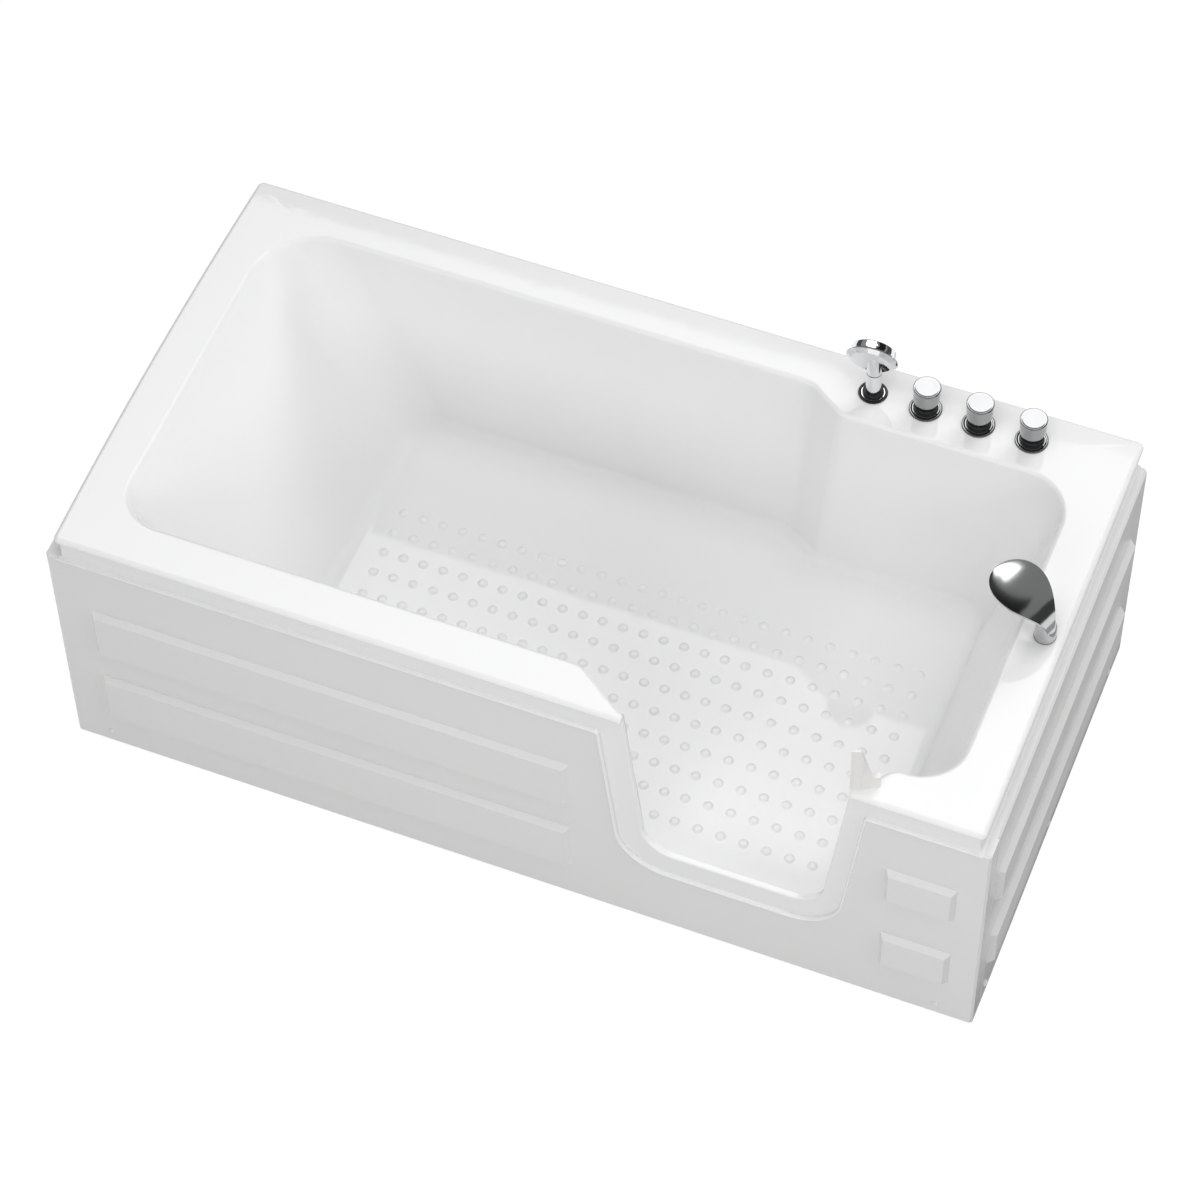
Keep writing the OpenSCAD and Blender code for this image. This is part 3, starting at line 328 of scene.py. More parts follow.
def prism_box(name, low, high):
    """A closed box between two corners, used to build or carve another piece."""
    ring = [(low[0], low[1]), (high[0], low[1]), (high[0], high[1]), (low[0], high[1])]
    return loft(name, [ring, ring], [low[2], high[2]])


def soften(piece, name, width, segments, angle, clamp=True):
    """Gives edges sharper than an angle a small radius, width in metres."""
    bevel = piece.modifiers.new(name, "BEVEL")
    bevel.width = width
    bevel.segments = segments
    bevel.limit_method = "ANGLE"
    bevel.angle_limit = radians(angle)
    bevel.use_clamp_overlap = clamp
    return bevel


def bake(body):
    """Makes a piece's modifiers part of its mesh."""
    graph = bpy.context.evaluated_depsgraph_get()
    mesh = bpy.data.meshes.new_from_object(body.evaluated_get(graph))
    body.modifiers.clear()
    old, body.data = body.data, mesh
    bpy.data.meshes.remove(old)


def combine(body, operation, *tools):
    """body joined with, or carved by, the tools, which are used up."""
    for tool in tools:
        change = body.modifiers.new("Combine", "BOOLEAN")
        change.operation = operation
        change.object = tool
        change.solver = "EXACT"
        bake(body)
        bpy.data.objects.remove(tool)


def turned(name, profile, at, turns, materials, zones=(), lean=None):
    """A turned piece. profile holds (radius, height) from bottom to top, and closes on the axis
    where its radius is 0. zones holds (from height, to height, material number)."""
    verts, faces, marks = [], [], []
    rows = []
    for radius, height in profile:
        if radius < 1e-6:
            rows.append([len(verts)])
            verts.append((0.0, 0.0, height))
        else:
            rows.append(list(range(len(verts), len(verts) + turns)))
            verts += circle(radius, turns, z=height)
    for k in range(len(rows) - 1):
        low, high = rows[k], rows[k + 1]
        middle = (profile[k][1] + profile[k + 1][1]) / 2
        mark = next((m for a, b, m in zones if a <= middle <= b), 0)
        for i in range(turns):
            j = (i + 1) % turns
            face = [low[i % len(low)], low[j % len(low)], high[j % len(high)], high[i % len(high)]]
            face = [v for n, v in enumerate(face) if v not in face[:n]]
            if len(face) > 2:
                faces.append(face)
                marks.append(mark)
    if lean is not None:
        verts = [tuple(lean @ Vector(v)) for v in verts]
    verts = [(x + at[0], y + at[1], z + at[2]) for x, y, z in verts]
    return smooth(face_out(new_piece(name, verts, faces, materials, marks)), 40)


def eased(points, steps=6):
    """A smooth line through (radius, height) points, for profiles without hard corners."""
    line = []
    for i in range(len(points) - 1):
        before = points[max(i - 1, 0)]
        after = points[min(i + 2, len(points) - 1)]
        a, b = points[i], points[i + 1]
        for k in range(steps):
            t = k / steps
            line.append(tuple(
                0.5 * (2 * a[c] + (b[c] - before[c]) * t
                       + (2 * before[c] - 5 * a[c] + 4 * b[c] - after[c]) * t * t
                       + (3 * a[c] - before[c] - 3 * b[c] + after[c]) * t ** 3)
                for c in (0, 1)
            ))
    return [(max(r, 0.0), z) for r, z in line + [points[-1]]]


def corner_round(profile, radius, steps=4):
    """A profile of straight runs with each inner corner rounded."""
    line = [profile[0]]
    for i in range(1, len(profile) - 1):
        a, p, b = (Vector(profile[k]) for k in (i - 1, i, i + 1))
        into, out = a - p, b - p
        cut = min(radius, into.length * 0.45, out.length * 0.45)
        start, end = p + into.normalized() * cut, p + out.normalized() * cut
        for k in range(steps + 1):
            t = k / steps
            q = start * (1 - t) ** 2 + p * 2 * t * (1 - t) + end * t * t
            line.append((max(q.x, 0.0), q.y))
    line.append(profile[-1])
    return line


# ---- finishes ----


def put(node, **values):
    """Sets a node's inputs by their names, with _ for a space."""
    for label, value in values.items():
        node.inputs[label.replace("_", " ")].default_value = value
    return node


def wire(tree, *runs):
    """Links in a tree, each given as node, output, node, input."""
    for start, output, end, entry in runs:
        tree.links.new(start.outputs[output], end.inputs[entry])


def group_tree(name, inputs, outputs):
    """A shader node group with named sockets, and its coordinate, input and output nodes."""
    tree = bpy.data.node_groups.new(name, "ShaderNodeTree")
    for label, kind, value in inputs:
        socket = tree.interface.new_socket(name=label, in_out="INPUT", socket_type=kind)
        if value is not None:
            socket.default_value = value
    for label, kind in outputs:
        tree.interface.new_socket(name=label, in_out="OUTPUT", socket_type=kind)
    kinds = ("ShaderNodeTexCoord", "NodeGroupInput", "NodeGroupOutput")
    return tree, *(tree.nodes.new(kind) for kind in kinds)


def mottle_group():
    """Broad, faint clouding: a value between two others, for gloss that is never quite even."""
    tree, place, source, result = group_tree(
        "Faint mottle",
        [("Scale", "NodeSocketFloat", 6.0), ("Low", "NodeSocketFloat", 0.08),
         ("High", "NodeSocketFloat", 0.14)],
        [("Value", "NodeSocketFloat")],
    )
    cloud = put(tree.nodes.new("ShaderNodeTexNoise"), Detail=3)
    spread = put(tree.nodes.new("ShaderNodeMapRange"), From_Min=0.3, From_Max=0.7)
    wire(
        tree,
        (place, "Object", cloud, "Vector"),
        (source, "Scale", cloud, "Scale"),
        (cloud, "Fac", spread, "Value"),
        (source, "Low", spread, "To Min"),
        (source, "High", spread, "To Max"),
        (spread, "Result", result, "Value"),
    )
    return tree


def tint_group():
    """A colour that drifts between two near tones over the surface."""
    tree, place, source, result = group_tree(
        "Drifting tone",
        [("Scale", "NodeSocketFloat", 3.0), ("Tone A", "NodeSocketColor", None),
         ("Tone B", "NodeSocketColor", None)],
        [("Color", "NodeSocketColor")],
    )
    cloud = put(tree.nodes.new("ShaderNodeTexNoise"), Detail=2)
    mix = tree.nodes.new("ShaderNodeMix")
    mix.data_type = "RGBA"
    wire(
        tree,
        (place, "Object", cloud, "Vector"),
        (source, "Scale", cloud, "Scale"),
        (cloud, "Fac", mix, "Factor"),
        (source, "Tone A", mix, "A"),
        (source, "Tone B", mix, "B"),
        (mix, "Result", result, "Color"),
    )
    return tree


def grain_group():
    """Fine surface relief, stretched along one axis where the stock was drawn or brushed."""
    tree, place, source, result = group_tree(
        "Fine grain",
        [("Scale", "NodeSocketFloat", 400.0), ("Stretch", "NodeSocketVector", (1.0, 1.0, 1.0))],
        [("Height", "NodeSocketFloat")],
    )
    shape = tree.nodes.new("ShaderNodeVectorMath")
    shape.operation = "MULTIPLY"
    cloud = put(tree.nodes.new("ShaderNodeTexNoise"), Detail=4, Roughness=0.6)
    wire(
        tree,
        (place, "Object", shape, 0),
        (source, "Stretch", shape, 1),
        (shape, "Vector", cloud, "Vector"),
        (source, "Scale", cloud, "Scale"),
        (cloud, "Fac", result, "Height"),
    )
    return tree


def spangle_group():
    """The crystal patches of hot-dip zinc, as a tone and a roughness."""
    tree, place, source, result = group_tree(
        "Zinc spangle",
        [("Scale", "NodeSocketFloat", 60.0), ("Tone A", "NodeSocketColor", None),
         ("Tone B", "NodeSocketColor", None)],
        [("Color", "NodeSocketColor"), ("Roughness", "NodeSocketFloat")],
    )
    cells = tree.nodes.new("ShaderNodeTexVoronoi")
    bright = tree.nodes.new("ShaderNodeSeparateColor")
    mix = tree.nodes.new("ShaderNodeMix")
    mix.data_type = "RGBA"
    spread = put(tree.nodes.new("ShaderNodeMapRange"), To_Min=0.34, To_Max=0.52)
    wire(
        tree,
        (place, "Object", cells, "Vector"),
        (source, "Scale", cells, "Scale"),
        (cells, "Color", bright, "Color"),
        (bright, "Red", mix, "Factor"),
        (source, "Tone A", mix, "A"),
        (source, "Tone B", mix, "B"),
        (bright, "Red", spread, "Value"),
        (mix, "Result", result, "Color"),
        (spread, "Result", result, "Roughness"),
    )
    return tree


GROUPS = {
    "mottle": mottle_group,
    "tint": tint_group,
    "grain": grain_group,
    "spangle": spangle_group,
}


def use_group(home, key, **values):
    """One of the shared effects placed in a material's tree, with its own values."""
    tree = next((g for g in bpy.data.node_groups if g.get("effect") == key), None)
    if tree is None:
        tree = GROUPS[key]()
        tree["effect"] = key
    node = home.nodes.new("ShaderNodeGroup")
    node.node_tree = tree
    return put(node, **values)


def finish_of(name, tones, gloss, tone_scale, gloss_scale=8.0, metallic=0.0, grain=None, ior=1.5):
    """A finish: two near tones, a gloss that varies, and relief by grain, which is (scale, stretch,
    strength, depth)."""
    found = bpy.data.materials.get(name)
    if found:
        return found
    material = bpy.data.materials.new(name)
    material.use_nodes = True
    tree = material.node_tree
    shader = put(tree.nodes["Principled BSDF"], Metallic=metallic, IOR=ior)
    tint = use_group(tree, "tint", Scale=tone_scale, Tone_A=(*tones[0], 1), Tone_B=(*tones[1], 1))
    mottle = use_group(tree, "mottle", Scale=gloss_scale, Low=gloss[0], High=gloss[1])
    wire(tree, (tint, "Color", shader, "Base Color"), (mottle, "Value", shader, "Roughness"))
    if grain:
        add_grain(tree, *grain)
    return material


def add_grain(tree, scale, stretch, strength, depth):
    """Gives a finish fine relief."""
    relief = use_group(tree, "grain", Scale=scale, Stretch=stretch)
    bump = put(tree.nodes.new("ShaderNodeBump"), Strength=strength, Distance=depth)
    shader = tree.nodes["Principled BSDF"]
    wire(tree, (relief, "Height", bump, "Height"), (bump, "Normal", shader, "Normal"))


def near(colour, by):
    """A colour a little darker, or lighter where by is above 1."""
    return tuple(min(c * by, 1.0) for c in colour)


def shell_acrylic():
    colour = bpy.context.scene.bathtub_shell.acrylic
    return finish_of("Tub acrylic", (colour, near(colour, 0.985)), (0.03, 0.06), 1.6,
                     grain=(9.0, (1, 1, 1), 0.04, 0.004), ior=1.49)


def panel_acrylic():
    colour = bpy.context.scene.bathtub_shell.panel
    return finish_of("Panel acrylic", (colour, near(colour, 0.975)), (0.16, 0.24), 2.4,
                     grain=(700.0, (1, 1, 1), 0.05, 0.0004), ior=1.49)


def chrome_of(name, tone, gloss, gloss_scale=30):
    """A chrome whose two near tones are the set colour times those in tone. A tone well below 1
    paints shade into the chrome, and a tone well above 1 paints light.
    """
    colour = bpy.context.scene.bathtub_fittings.chrome
    tones = [near(colour, by) for by in tone]
    return finish_of(name, tones, gloss, 12, gloss_scale, metallic=1.0)


def polished_chrome():
    return chrome_of("Polished chrome", (1.0, 0.97), (0.03, 0.06))


# Painted shade: the same chrome at about two thirds of its colour, so the knobs look darker
def knob_chrome_painted_shade():
    return chrome_of("Knob chrome", (0.64, 0.60), (0.04, 0.07))


# Painted light: the same chrome at 1.4 times its colour, so the hand shower looks brighter
def shower_chrome_painted_light():
    return chrome_of("Shower chrome", (1.4, 1.36), (0.04, 0.07))


def blade_chrome():
    return chrome_of("Blade chrome", (1.0, 0.97), (0.13, 0.17), 20)


def gasket_rubber():
    colour = bpy.context.scene.bathtub_fittings.gasket
    return finish_of("Gasket rubber", (colour, near(colour, 1.8)), (0.2, 0.34), 3.0, 120,
                     grain=(900.0, (1, 1, 1), 0.08, 0.0004))


def zinc_steel():
    found = bpy.data.materials.get("Zinc steel")
    if found:
        return found
    material = bpy.data.materials.new("Zinc steel")
    material.use_nodes = True
    tree = material.node_tree
    shader = put(tree.nodes["Principled BSDF"], Metallic=1.0)
    dark, light = (0.46, 0.48, 0.50, 1), (0.66, 0.68, 0.69, 1)
    zinc = use_group(tree, "spangle", Scale=85.0, Tone_A=dark, Tone_B=light)
    wire(tree, (zinc, "Color", shader, "Base Color"), (zinc, "Roughness", shader, "Roughness"))
    add_grain(tree, 240.0, (1, 1, 1), 0.12, 0.0006)
    return material


# Finishes without a set colour: two tones, gloss, the tones' scale, the gloss's, metallic, grain
PLAIN_FINISHES = {
    "Foot rubber": (
        ((0.022, 0.022, 0.024), (0.034, 0.034, 0.036)), (0.5, 0.7), 25, 60, 0.0,
        (600.0, (1, 1, 1), 0.25, 0.0006),
    ),
    "Cast brass": (
        ((0.72, 0.52, 0.25), (0.60, 0.41, 0.18)), (0.24, 0.42), 30, 45, 1.0,
        (500.0, (1, 1, 1), 0.2, 0.0005),
    ),
    "Drawn brass": (
        ((0.76, 0.57, 0.29), (0.68, 0.49, 0.23)), (0.16, 0.28), 14, 30, 1.0,
        (260.0, (0.08, 1, 1), 0.15, 0.0004),
    ),
    "Waste plastic": (
        ((0.74, 0.74, 0.73), (0.68, 0.68, 0.665)), (0.28, 0.4), 9, 25, 0.0,
        (350.0, (1, 1, 1), 0.1, 0.0005),
    ),
    "Chip board": (
        ((0.52, 0.37, 0.21), (0.36, 0.24, 0.125)), (0.5, 0.68), 140, 40, 0.0,
        (180.0, (1, 0.4, 1), 0.35, 0.0012),
    ),
    "Bolt zinc": (
        ((0.62, 0.61, 0.56), (0.52, 0.52, 0.5)), (0.22, 0.36), 40, 90, 1.0,
        (420.0, (1, 1, 6), 0.12, 0.0004),
    ),
    "Keeper plastic": (
        ((0.86, 0.855, 0.84), (0.80, 0.79, 0.77)), (0.10, 0.18), 30, 20, 0.0,
        (300.0, (1, 1, 1), 0.05, 0.0004),
    ),
}


def plain(name):
    """One of the finishes from the list above."""
    return finish_of(name, *PLAIN_FINISHES[name])


def dress(material, *nodes, edge=0.0, angle=30):
    """CAD nodes' own meshes in a better finish, their edges broken by a small radius."""
    for node in nodes:
        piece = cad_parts[node]
        piece.data.materials.clear()
        piece.data.materials.append(material)
        for face in piece.data.polygons:
            face.material_index = 0
        if edge:
            soften(piece, "Broken edges", edge, 2, angle)
        smooth(piece, angle)


def stand_in(piece, body, slot, *nodes):
    """A drawn piece takes the place of CAD nodes and rides their body."""
    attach(piece, body)
    if nodes:
        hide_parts(*nodes)


# ---- the shell ----


class BATHTUB_OT_shell(bpy.types.Operator):
    """Draws the moulded shell: deck, rolled rim, basin and doorway"""

    bl_idname = "bathtub.shell"
    bl_label = "Moulded shell"

    ARC = 14

    def execute(self, context):
        sizes = context.scene.bathtub_shell
        rim = sizes.rim_round / MM
        line = deck_corners()
        quarter = [radians(15 * k) for k in range(7)]
        rings = [rounded(line, self.ARC)]
        rings += [rounded(inset(line, DECK_EDGE * (1 - cos(a))), self.ARC) for a in quarter]
        heights = [RIM_Z - DECK_T] + [RIM_Z - DECK_EDGE * (1 - sin(a)) for a in quarter]
        body = loft("tub_skin", rings, heights)
        skirt = prism_box(
            "skirt", (DECK_LEFT + LIP, DECK_FRONT + LIP, SKIRT_LOW),
            (DECK_RIGHT - LIP, DECK_BACK - LIP, RIM_Z - 6),
        )
        hollow = prism_box(
            "hollow", (DECK_LEFT + LIP + SKIRT_T, DECK_FRONT + LIP + SKIRT_T, SKIRT_LOW - 5),
            (DECK_RIGHT - LIP - SKIRT_T, DECK_BACK - LIP - SKIRT_T, RIM_Z - DECK_T),
        )
        combine(skirt, "DIFFERENCE", hollow)
        wall = prism_box(
            "wall", (DOOR_LEFT - 40, DECK_FRONT + LIP, FLOOR_Z - SHELL_T / 2),
            (DOOR_RIGHT + 44, DECK_FRONT + LIP + JAMB_T - 1, RIM_Z - 8),
        )
        combine(body, "UNION", skirt, self.basin("outside", SHELL_T, RIM_Z - 7, 0), wall)
        combine(body, "DIFFERENCE", self.basin("inside", 0, RIM_Z + 1, rim), self.doorway())
        soften(body, "Soft edges", sizes.edge_round, 4, 38, False).miter_outer = "MITER_ARC"
        bake(body)
        body.data.materials.clear()
        body.data.materials.append(shell_acrylic())
        smooth(body, 38)
        stand_in(body, "tub", "acrylic_shell", "tub_shell")
        return {"FINISHED"}

    def doorway(self):
        """The form that cuts the doorway: a leaning outline carried from front to back."""
        drop, above = RIM_Z - SILL_Z, 20
        door = rounded(
            [
                (DOOR_LEFT + drop * DOOR_LEAN, SILL_Z, DOOR_ROUND),
                (DOOR_RIGHT - drop * DOOR_LEAN, SILL_Z, DOOR_ROUND),
                (DOOR_RIGHT + above * DOOR_LEAN, RIM_Z + above, 1),
                (DOOR_LEFT - above * DOOR_LEAN, RIM_Z + above, 1),
            ],
            self.ARC,
        )
        inner = DECK_FRONT + LIP + JAMB_T + 12
        form = loft("doorway", [door, door], [-inner, 50 - inner])
        form.data.transform(Matrix.Rotation(radians(90), 4, "X"))
        return form

    def basin(self, name, grow, top, roll):
        """The basin's form, its inside where grow is 0, with a rim that rolls out by roll."""
        rows = []
        for k in range(9):
            a = radians(90 * k / 8)
            z = FLOOR_Z + COVE - (COVE + grow) * cos(a)
            rows.append((z, max(z, FLOOR_Z), COVE - (COVE + grow) * sin(a)))
        low, end = rows[-1][0], min(top, RIM_Z) - roll
        for k in (1, 2, 3, 4):
            z = low + (end - low) * k / 4
            rows.append((z, z, -grow))
        if roll:
            for a in (12, 24, 36, 48, 60, 72, 82):
                z = end + roll * sin(radians(a))
                rows.append((z, z, -roll * (1 - cos(radians(a)))))
            rows += [(z, RIM_Z, -roll * 1.04) for z in (RIM_Z + 0.02, top)]
        rings = [rounded(inset(basin_corners(at), by), self.ARC) for _, at, by in rows]
        return loft(name, rings, [row[0] for row in rows])


class BATHTUB_OT_bead(bpy.types.Operator):
    """Runs the shell's moulded bead along the edge of the front panel"""

    bl_idname = "bathtub.bead"
    bl_label = "Skirt bead"

    ARC, ROUND, ABOVE_SKIRT = 16, DOOR_ROUND + 36, 17.5
    # (across, depth) from the line, depth below 0 outward
    SECTION = ((-3.0, 4.0), (-3.0, -2.0), (-2.5, -3.6), (-1.2, -4.6), (0.2, -4.9), (1.4, -4.6),
               (2.3, -3.6), (2.6, -2.0), (2.6, 4.0))

    def execute(self, context):
        top = SKIRT_LOW + self.ABOVE_SKIRT
        spots = self.line(top)
        verts = self.side(DECK_LEFT, 1, top, (True, False))
        for n in range(1, len(spots) - 1):
            ahead = (spots[n + 1] - spots[n - 1]).normalized()
            out = Vector((ahead.y, -ahead.x))
            for across, depth in self.SECTION:
                at = spots[n] + out * across
                verts.append((at.x, DECK_FRONT + self.inward(depth), at.y))
        verts += self.side(DECK_RIGHT, -1, top, (False, True))
        count = len(self.SECTION)
        last = len(verts) - count
        faces = bands(len(verts) // count, count)
        faces.append(tuple(range(count))[::-1])
        faces.append(tuple(range(last, last + count)))
        piece = smooth(face_out(new_piece("skirt_bead", verts, faces, [shell_acrylic()])), 50)
        stand_in(piece, "tub", "acrylic_shell")
        return {"FINISHED"}

    def line(self, top):
        """The bead's middle line along the front, from the head end round the doorway."""
        low = SILL_Z - 51.5
        lean = (RIM_Z - SILL_Z + 49) * DOOR_LEAN
        rise = (RIM_Z - top) * DOOR_LEAN
        left, right = DOOR_LEFT - 47.5, DOOR_RIGHT + 36.5
        ends, high = (DECK_LEFT + 9, DECK_RIGHT - 9), RIM_Z + 100
        path = [
            (ends[0], top, 1), (left + rise, top, 5), (left + lean, low, self.ROUND),
            (right - lean, low, self.ROUND), (right - rise, top, 5), (ends[1], top, 1),
            (ends[1], high, 1), (ends[0], high, 1),
        ]
        each = self.ARC + 1
        points = [Vector(p) for p in rounded(path, self.ARC)[each:-3 * each]]
        return [p for n, p in enumerate(points) if n == 0 or (p - points[n - 1]).length > 0.01]

    def side(self, edge, way, top, ends):
        """The section at a side's two ends, mitred at the front."""
        points = []
        for at_back in ends:
            for across, depth in self.SECTION:
                by = self.inward(depth)
                y = DECK_BACK - LIP if at_back else DECK_FRONT + by
                points.append((edge + way * by, y, top - across))
        return points

    @staticmethod
    def inward(depth):
        """How far inside the deck's edge a point of the section lies."""
        return LIP - 3 + depth


class BATHTUB_OT_grips(bpy.types.Operator):
    """Sets the rows of round grips on the standing surface"""

    bl_idname = "bathtub.grips"
    bl_label = "Standing grips"

    # Columns run from the head end, rows from a middle one to the back and to the front
    COLUMNS, FIRST_X, PITCH_X = 19, -434, 38.4
    FOOT_COLUMNS, FOOT_PITCH_X = 8, 41.8
    MIDDLE_Y, BACK_PITCH_Y, FRONT_PITCH_Y = -11, 46.5, 50
    # (share of the radius, share of the height) from the foot of a grip to its top
    DOME = ((1.12, -0.05), (1.02, 0.03), (0.93, 0.16), (0.84, 0.36), (0.72, 0.62), (0.55, 0.82),
            (0.36, 0.94), (0.16, 0.99))

    def execute(self, context):
        sizes = context.scene.bathtub_shell
        radius, height = sizes.grip_radius / MM, sizes.grip_height / MM
        columns = [self.FIRST_X + self.PITCH_X * i for i in range(self.COLUMNS)]
        columns += [columns[-1] + self.FOOT_PITCH_X * (i + 1) for i in range(self.FOOT_COLUMNS)]
        rows = [self.MIDDLE_Y + self.BACK_PITCH_Y * i for i in range(3, 0, -1)]
        rows += [self.MIDDLE_Y - self.FRONT_PITCH_Y * i for i in range(7)]
        edge = rounded(inset(basin_corners(FLOOR_Z), 30), 8)
        turns = 20
        verts, faces = [], []
        for y in rows:
            for x in columns:
                if not self.inside(edge, x, y):
                    continue
                start = len(verts)
                for share, rise in self.DOME:
                    verts += circle(radius * share, turns, x, y, FLOOR_Z + height * rise)
                faces += bands(len(self.DOME), turns, start)
                verts.append((x, y, FLOOR_Z + height))
                last = start + (len(self.DOME) - 1) * turns
                for i in range(turns):
                    faces.append((last + i, last + (i + 1) % turns, len(verts) - 1))
        piece = new_piece("floor_grips", verts, faces, [shell_acrylic()])
        piece.data.shade_smooth()
        stand_in(piece, "tub", "acrylic_shell")
        return {"FINISHED"}

    @staticmethod
    def inside(outline, x, y):
        """Whether a point lies inside an outline."""
        hit = False
        for i, (x1, y1) in enumerate(outline):
            x0, y0 = outline[i - 1]
            if (y0 > y) != (y1 > y) and x < (x1 - x0) * (y - y0) / (y1 - y0) + x0:
                hit = not hit
        return hit


class BATHTUB_OT_panels(bpy.types.Operator):
    """Finishes the apron panels, their screw caps and the door keeper"""

    bl_idname = "bathtub.panels"
    bl_label = "Apron panels"

    def execute(self, context):
        dress(panel_acrylic(), "front_apron", "left_apron", "right_apron", edge=0.0012, angle=24)
        dress(panel_acrylic(), "screw_caps", edge=0.0004)
        dress(plain("Keeper plastic"), "door_keeper", edge=0.0008)
        return {"FINISHED"}


# ---- frame and pipework ----


class BATHTUB_OT_frame(bpy.types.Operator):
    """Finishes the tube frame, its feet and the board under the basin"""

    bl_idname = "bathtub.frame"
    bl_label = "Frame and feet"

    def execute(self, context):
        kinds = ("rail_", "crossbar_", "post_")
        tubes = [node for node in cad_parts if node.startswith(kinds)]
        dress(zinc_steel(), *tubes, edge=0.0012, angle=40)
        dress(plain("Foot rubber"), "foot_pads", edge=0.0006)
        dress(plain("Bolt zinc"), "foot_studs", "lock_nuts", "apron_screws", edge=0.0004)
        dress(plain("Chip board"), "floor_board", edge=0.0008)
        return {"FINISHED"}


class BATHTUB_OT_pipework(bpy.types.Operator):
    """Finishes the valves and pipes under the deck, and the waste under the basin"""

    bl_idname = "bathtub.pipework"
    bl_label = "Pipework"

    def execute(self, context):
        brass, drawn = plain("Cast brass"), plain("Drawn brass")
        for tap in TAPS:
            dress(brass, f"{tap}_valve", edge=0.0006)
            dress(drawn, f"{tap}_spindle")
        dress(drawn, "hot_link_pipe", "mixed_link_pipe", "spout_pipe")
        dress(brass, "deck_nuts", "pipe_nuts", edge=0.0006)
        dress(gasket_rubber(), "deck_washers", edge=0.0003)
        waste = ("waste_body", "waste_nut", "trap", "overflow_elbow", "overflow_pipe")
        dress(plain("Waste plastic"), *waste, edge=0.0006)
        bright = ("waste_flange", "drain_plug", "overflow_plate", "overflow_dial")
        dress(polished_chrome(), *bright, edge=0.0005)
        dress(gasket_rubber(), "spray_plate")
        return {"FINISHED"}


# ---- taps, hand shower and spout ----


class BATHTUB_OT_taps(bpy.types.Operator):
    """Turns the three knobs and their flanges"""

    bl_idname = "bathtub.taps"
    bl_label = "Taps"

    KNOB_UP = 9

    def execute(self, context):
        turns = context.scene.bathtub_fittings.turns
        # The knobs' chrome carries painted shade
        finishes = [knob_chrome_painted_shade(), gasket_rubber()]
        flange = corner_round(
            [(16.55, 8), (16.55, 0), (28.9, 0), (29, 2.2), (27.6, 3.9), (25.4, 3.9), (23.8, 2.9),
             (21.2, 2.9), (21, 7.4), (20.2, 8), (16.55, 8)], 0.8)
        cap = eased([(23.6, 42.6), (23.8, 44.2), (24, 47), (24, 49.3), (23.7, 50.2), (23.1, 50.8),
                     (22.3, 51)], 4)
        knob = (
            [(0, 0.4), (4.1, 0.4), (4.1, 0), (19.6, 0), (20.4, 0.8), (20.4, 5)]
            + eased([(18.9, 6), (19.4, 9), (21.0, 13.5), (22.1, 19), (22.9, 26), (23.3, 34),
                     (23.5, 41.2)], 4)
            + cap
            + eased([(21.4, 50.97), (20, 50.93), (18, 50.91), (8, 50.9), (0, 50.9)], 4)
        )
        for x, tap in zip(TAP_X[1:], TAPS):
            disc = turned(f"{tap}_disc", flange, (x, TAP_Y, RIM_Z), turns, finishes, [(4.1, 9, 1)])
            stand_in(disc, "tub", "chrome", f"{tap}_flange")
            seat = (x, TAP_Y, RIM_Z + self.KNOB_UP)
            grip = turned(f"{tap}_grip", knob, seat, turns, finishes, [(-1, 5.5, 1)])
            stand_in(grip, f"{tap}_control", "chrome", f"{tap}_knob")
        return {"FINISHED"}


class BATHTUB_OT_hand_shower(bpy.types.Operator):
    """Turns the pull-out hand shower and its holder"""

    bl_idname = "bathtub.hand_shower"
    bl_label = "Hand shower"

    # The head's height over the deck, how far its middle lies from the handle's, and its turns
    HEAD_UP, HEAD_OFF = 96, (-4.5, -5)
    TILT, SWING = radians(-75), radians(5)

    def execute(self, context):
        turns = context.scene.bathtub_fittings.turns
        # The hand shower's chrome carries painted light
        finishes = [shower_chrome_painted_light(), gasket_rubber()]
        x, y = TAP_X[0], TAP_Y
        holder = corner_round(
            [(11.4, 12), (11.4, -80), (18.5, -80), (18.5, 0), (25.9, 0), (26, 2.4), (24.8, 3.9),
             (22.4, 3.9), (20.6, 3), (18.4, 3), (17.8, 11), (16.6, 12), (11.4, 12)], 0.7)
        collar = turned("shower_collar", holder, (x, y, RIM_Z), turns, finishes, [(3.1, 12.1, 1)])
        stand_in(collar, "tub", "chrome", "shower_holder")
        top = self.HEAD_UP + 16
        grip = (
            [(6, -112), (10.48, -112), (10.48, -96), (11, -96), (11, 12.3), (12.9, 12.3),
             (13.7, 13.1), (13.7, 58.5), (13.0, 59), (13.0, 60), (13.7, 60.5), (13.7, top - 10)]
            + eased([(13.7, top - 9), (13.2, top - 5.6), (11.4, top - 2.7), (8.4, top - 0.9),
                     (4, top - 0.15), (0, top)], 5)
        )
        handle = turned("shower_grip", grip, (x, y, RIM_Z), turns, finishes, [(58.6, 60.4, 1)])
        lean = Matrix.Rotation(self.SWING, 3, "Z") @ Matrix.Rotation(self.TILT, 3, "X")
        face = (
            [(0, -6), (34.6, -6)]
            + eased([(35.2, -5.95), (36.6, -5.2), (40.6, -3.1), (44.2, -1.1), (45.1, -0.3)], 4)
            + [(45.45, 0.6), (45.1, 1.6), (44.4, 2.3), (42.2, 2.9), (41.4, 3.8), (40.3, 10),
               (39.2, 16.6), (38.5, 18.2), (37.1, 19), (34.5, 19), (34.5, 17), (0, 17)]
        )
        middle = (x + self.HEAD_OFF[0], y + self.HEAD_OFF[1], RIM_Z + self.HEAD_UP)
        head = turned("shower_disc", face, middle, turns, finishes, lean=lean)
        for piece, node in ((handle, "shower_handle"), (head, "shower_head")):
            stand_in(piece, "hand_shower", "chrome", node)
        return {"FINISHED"}


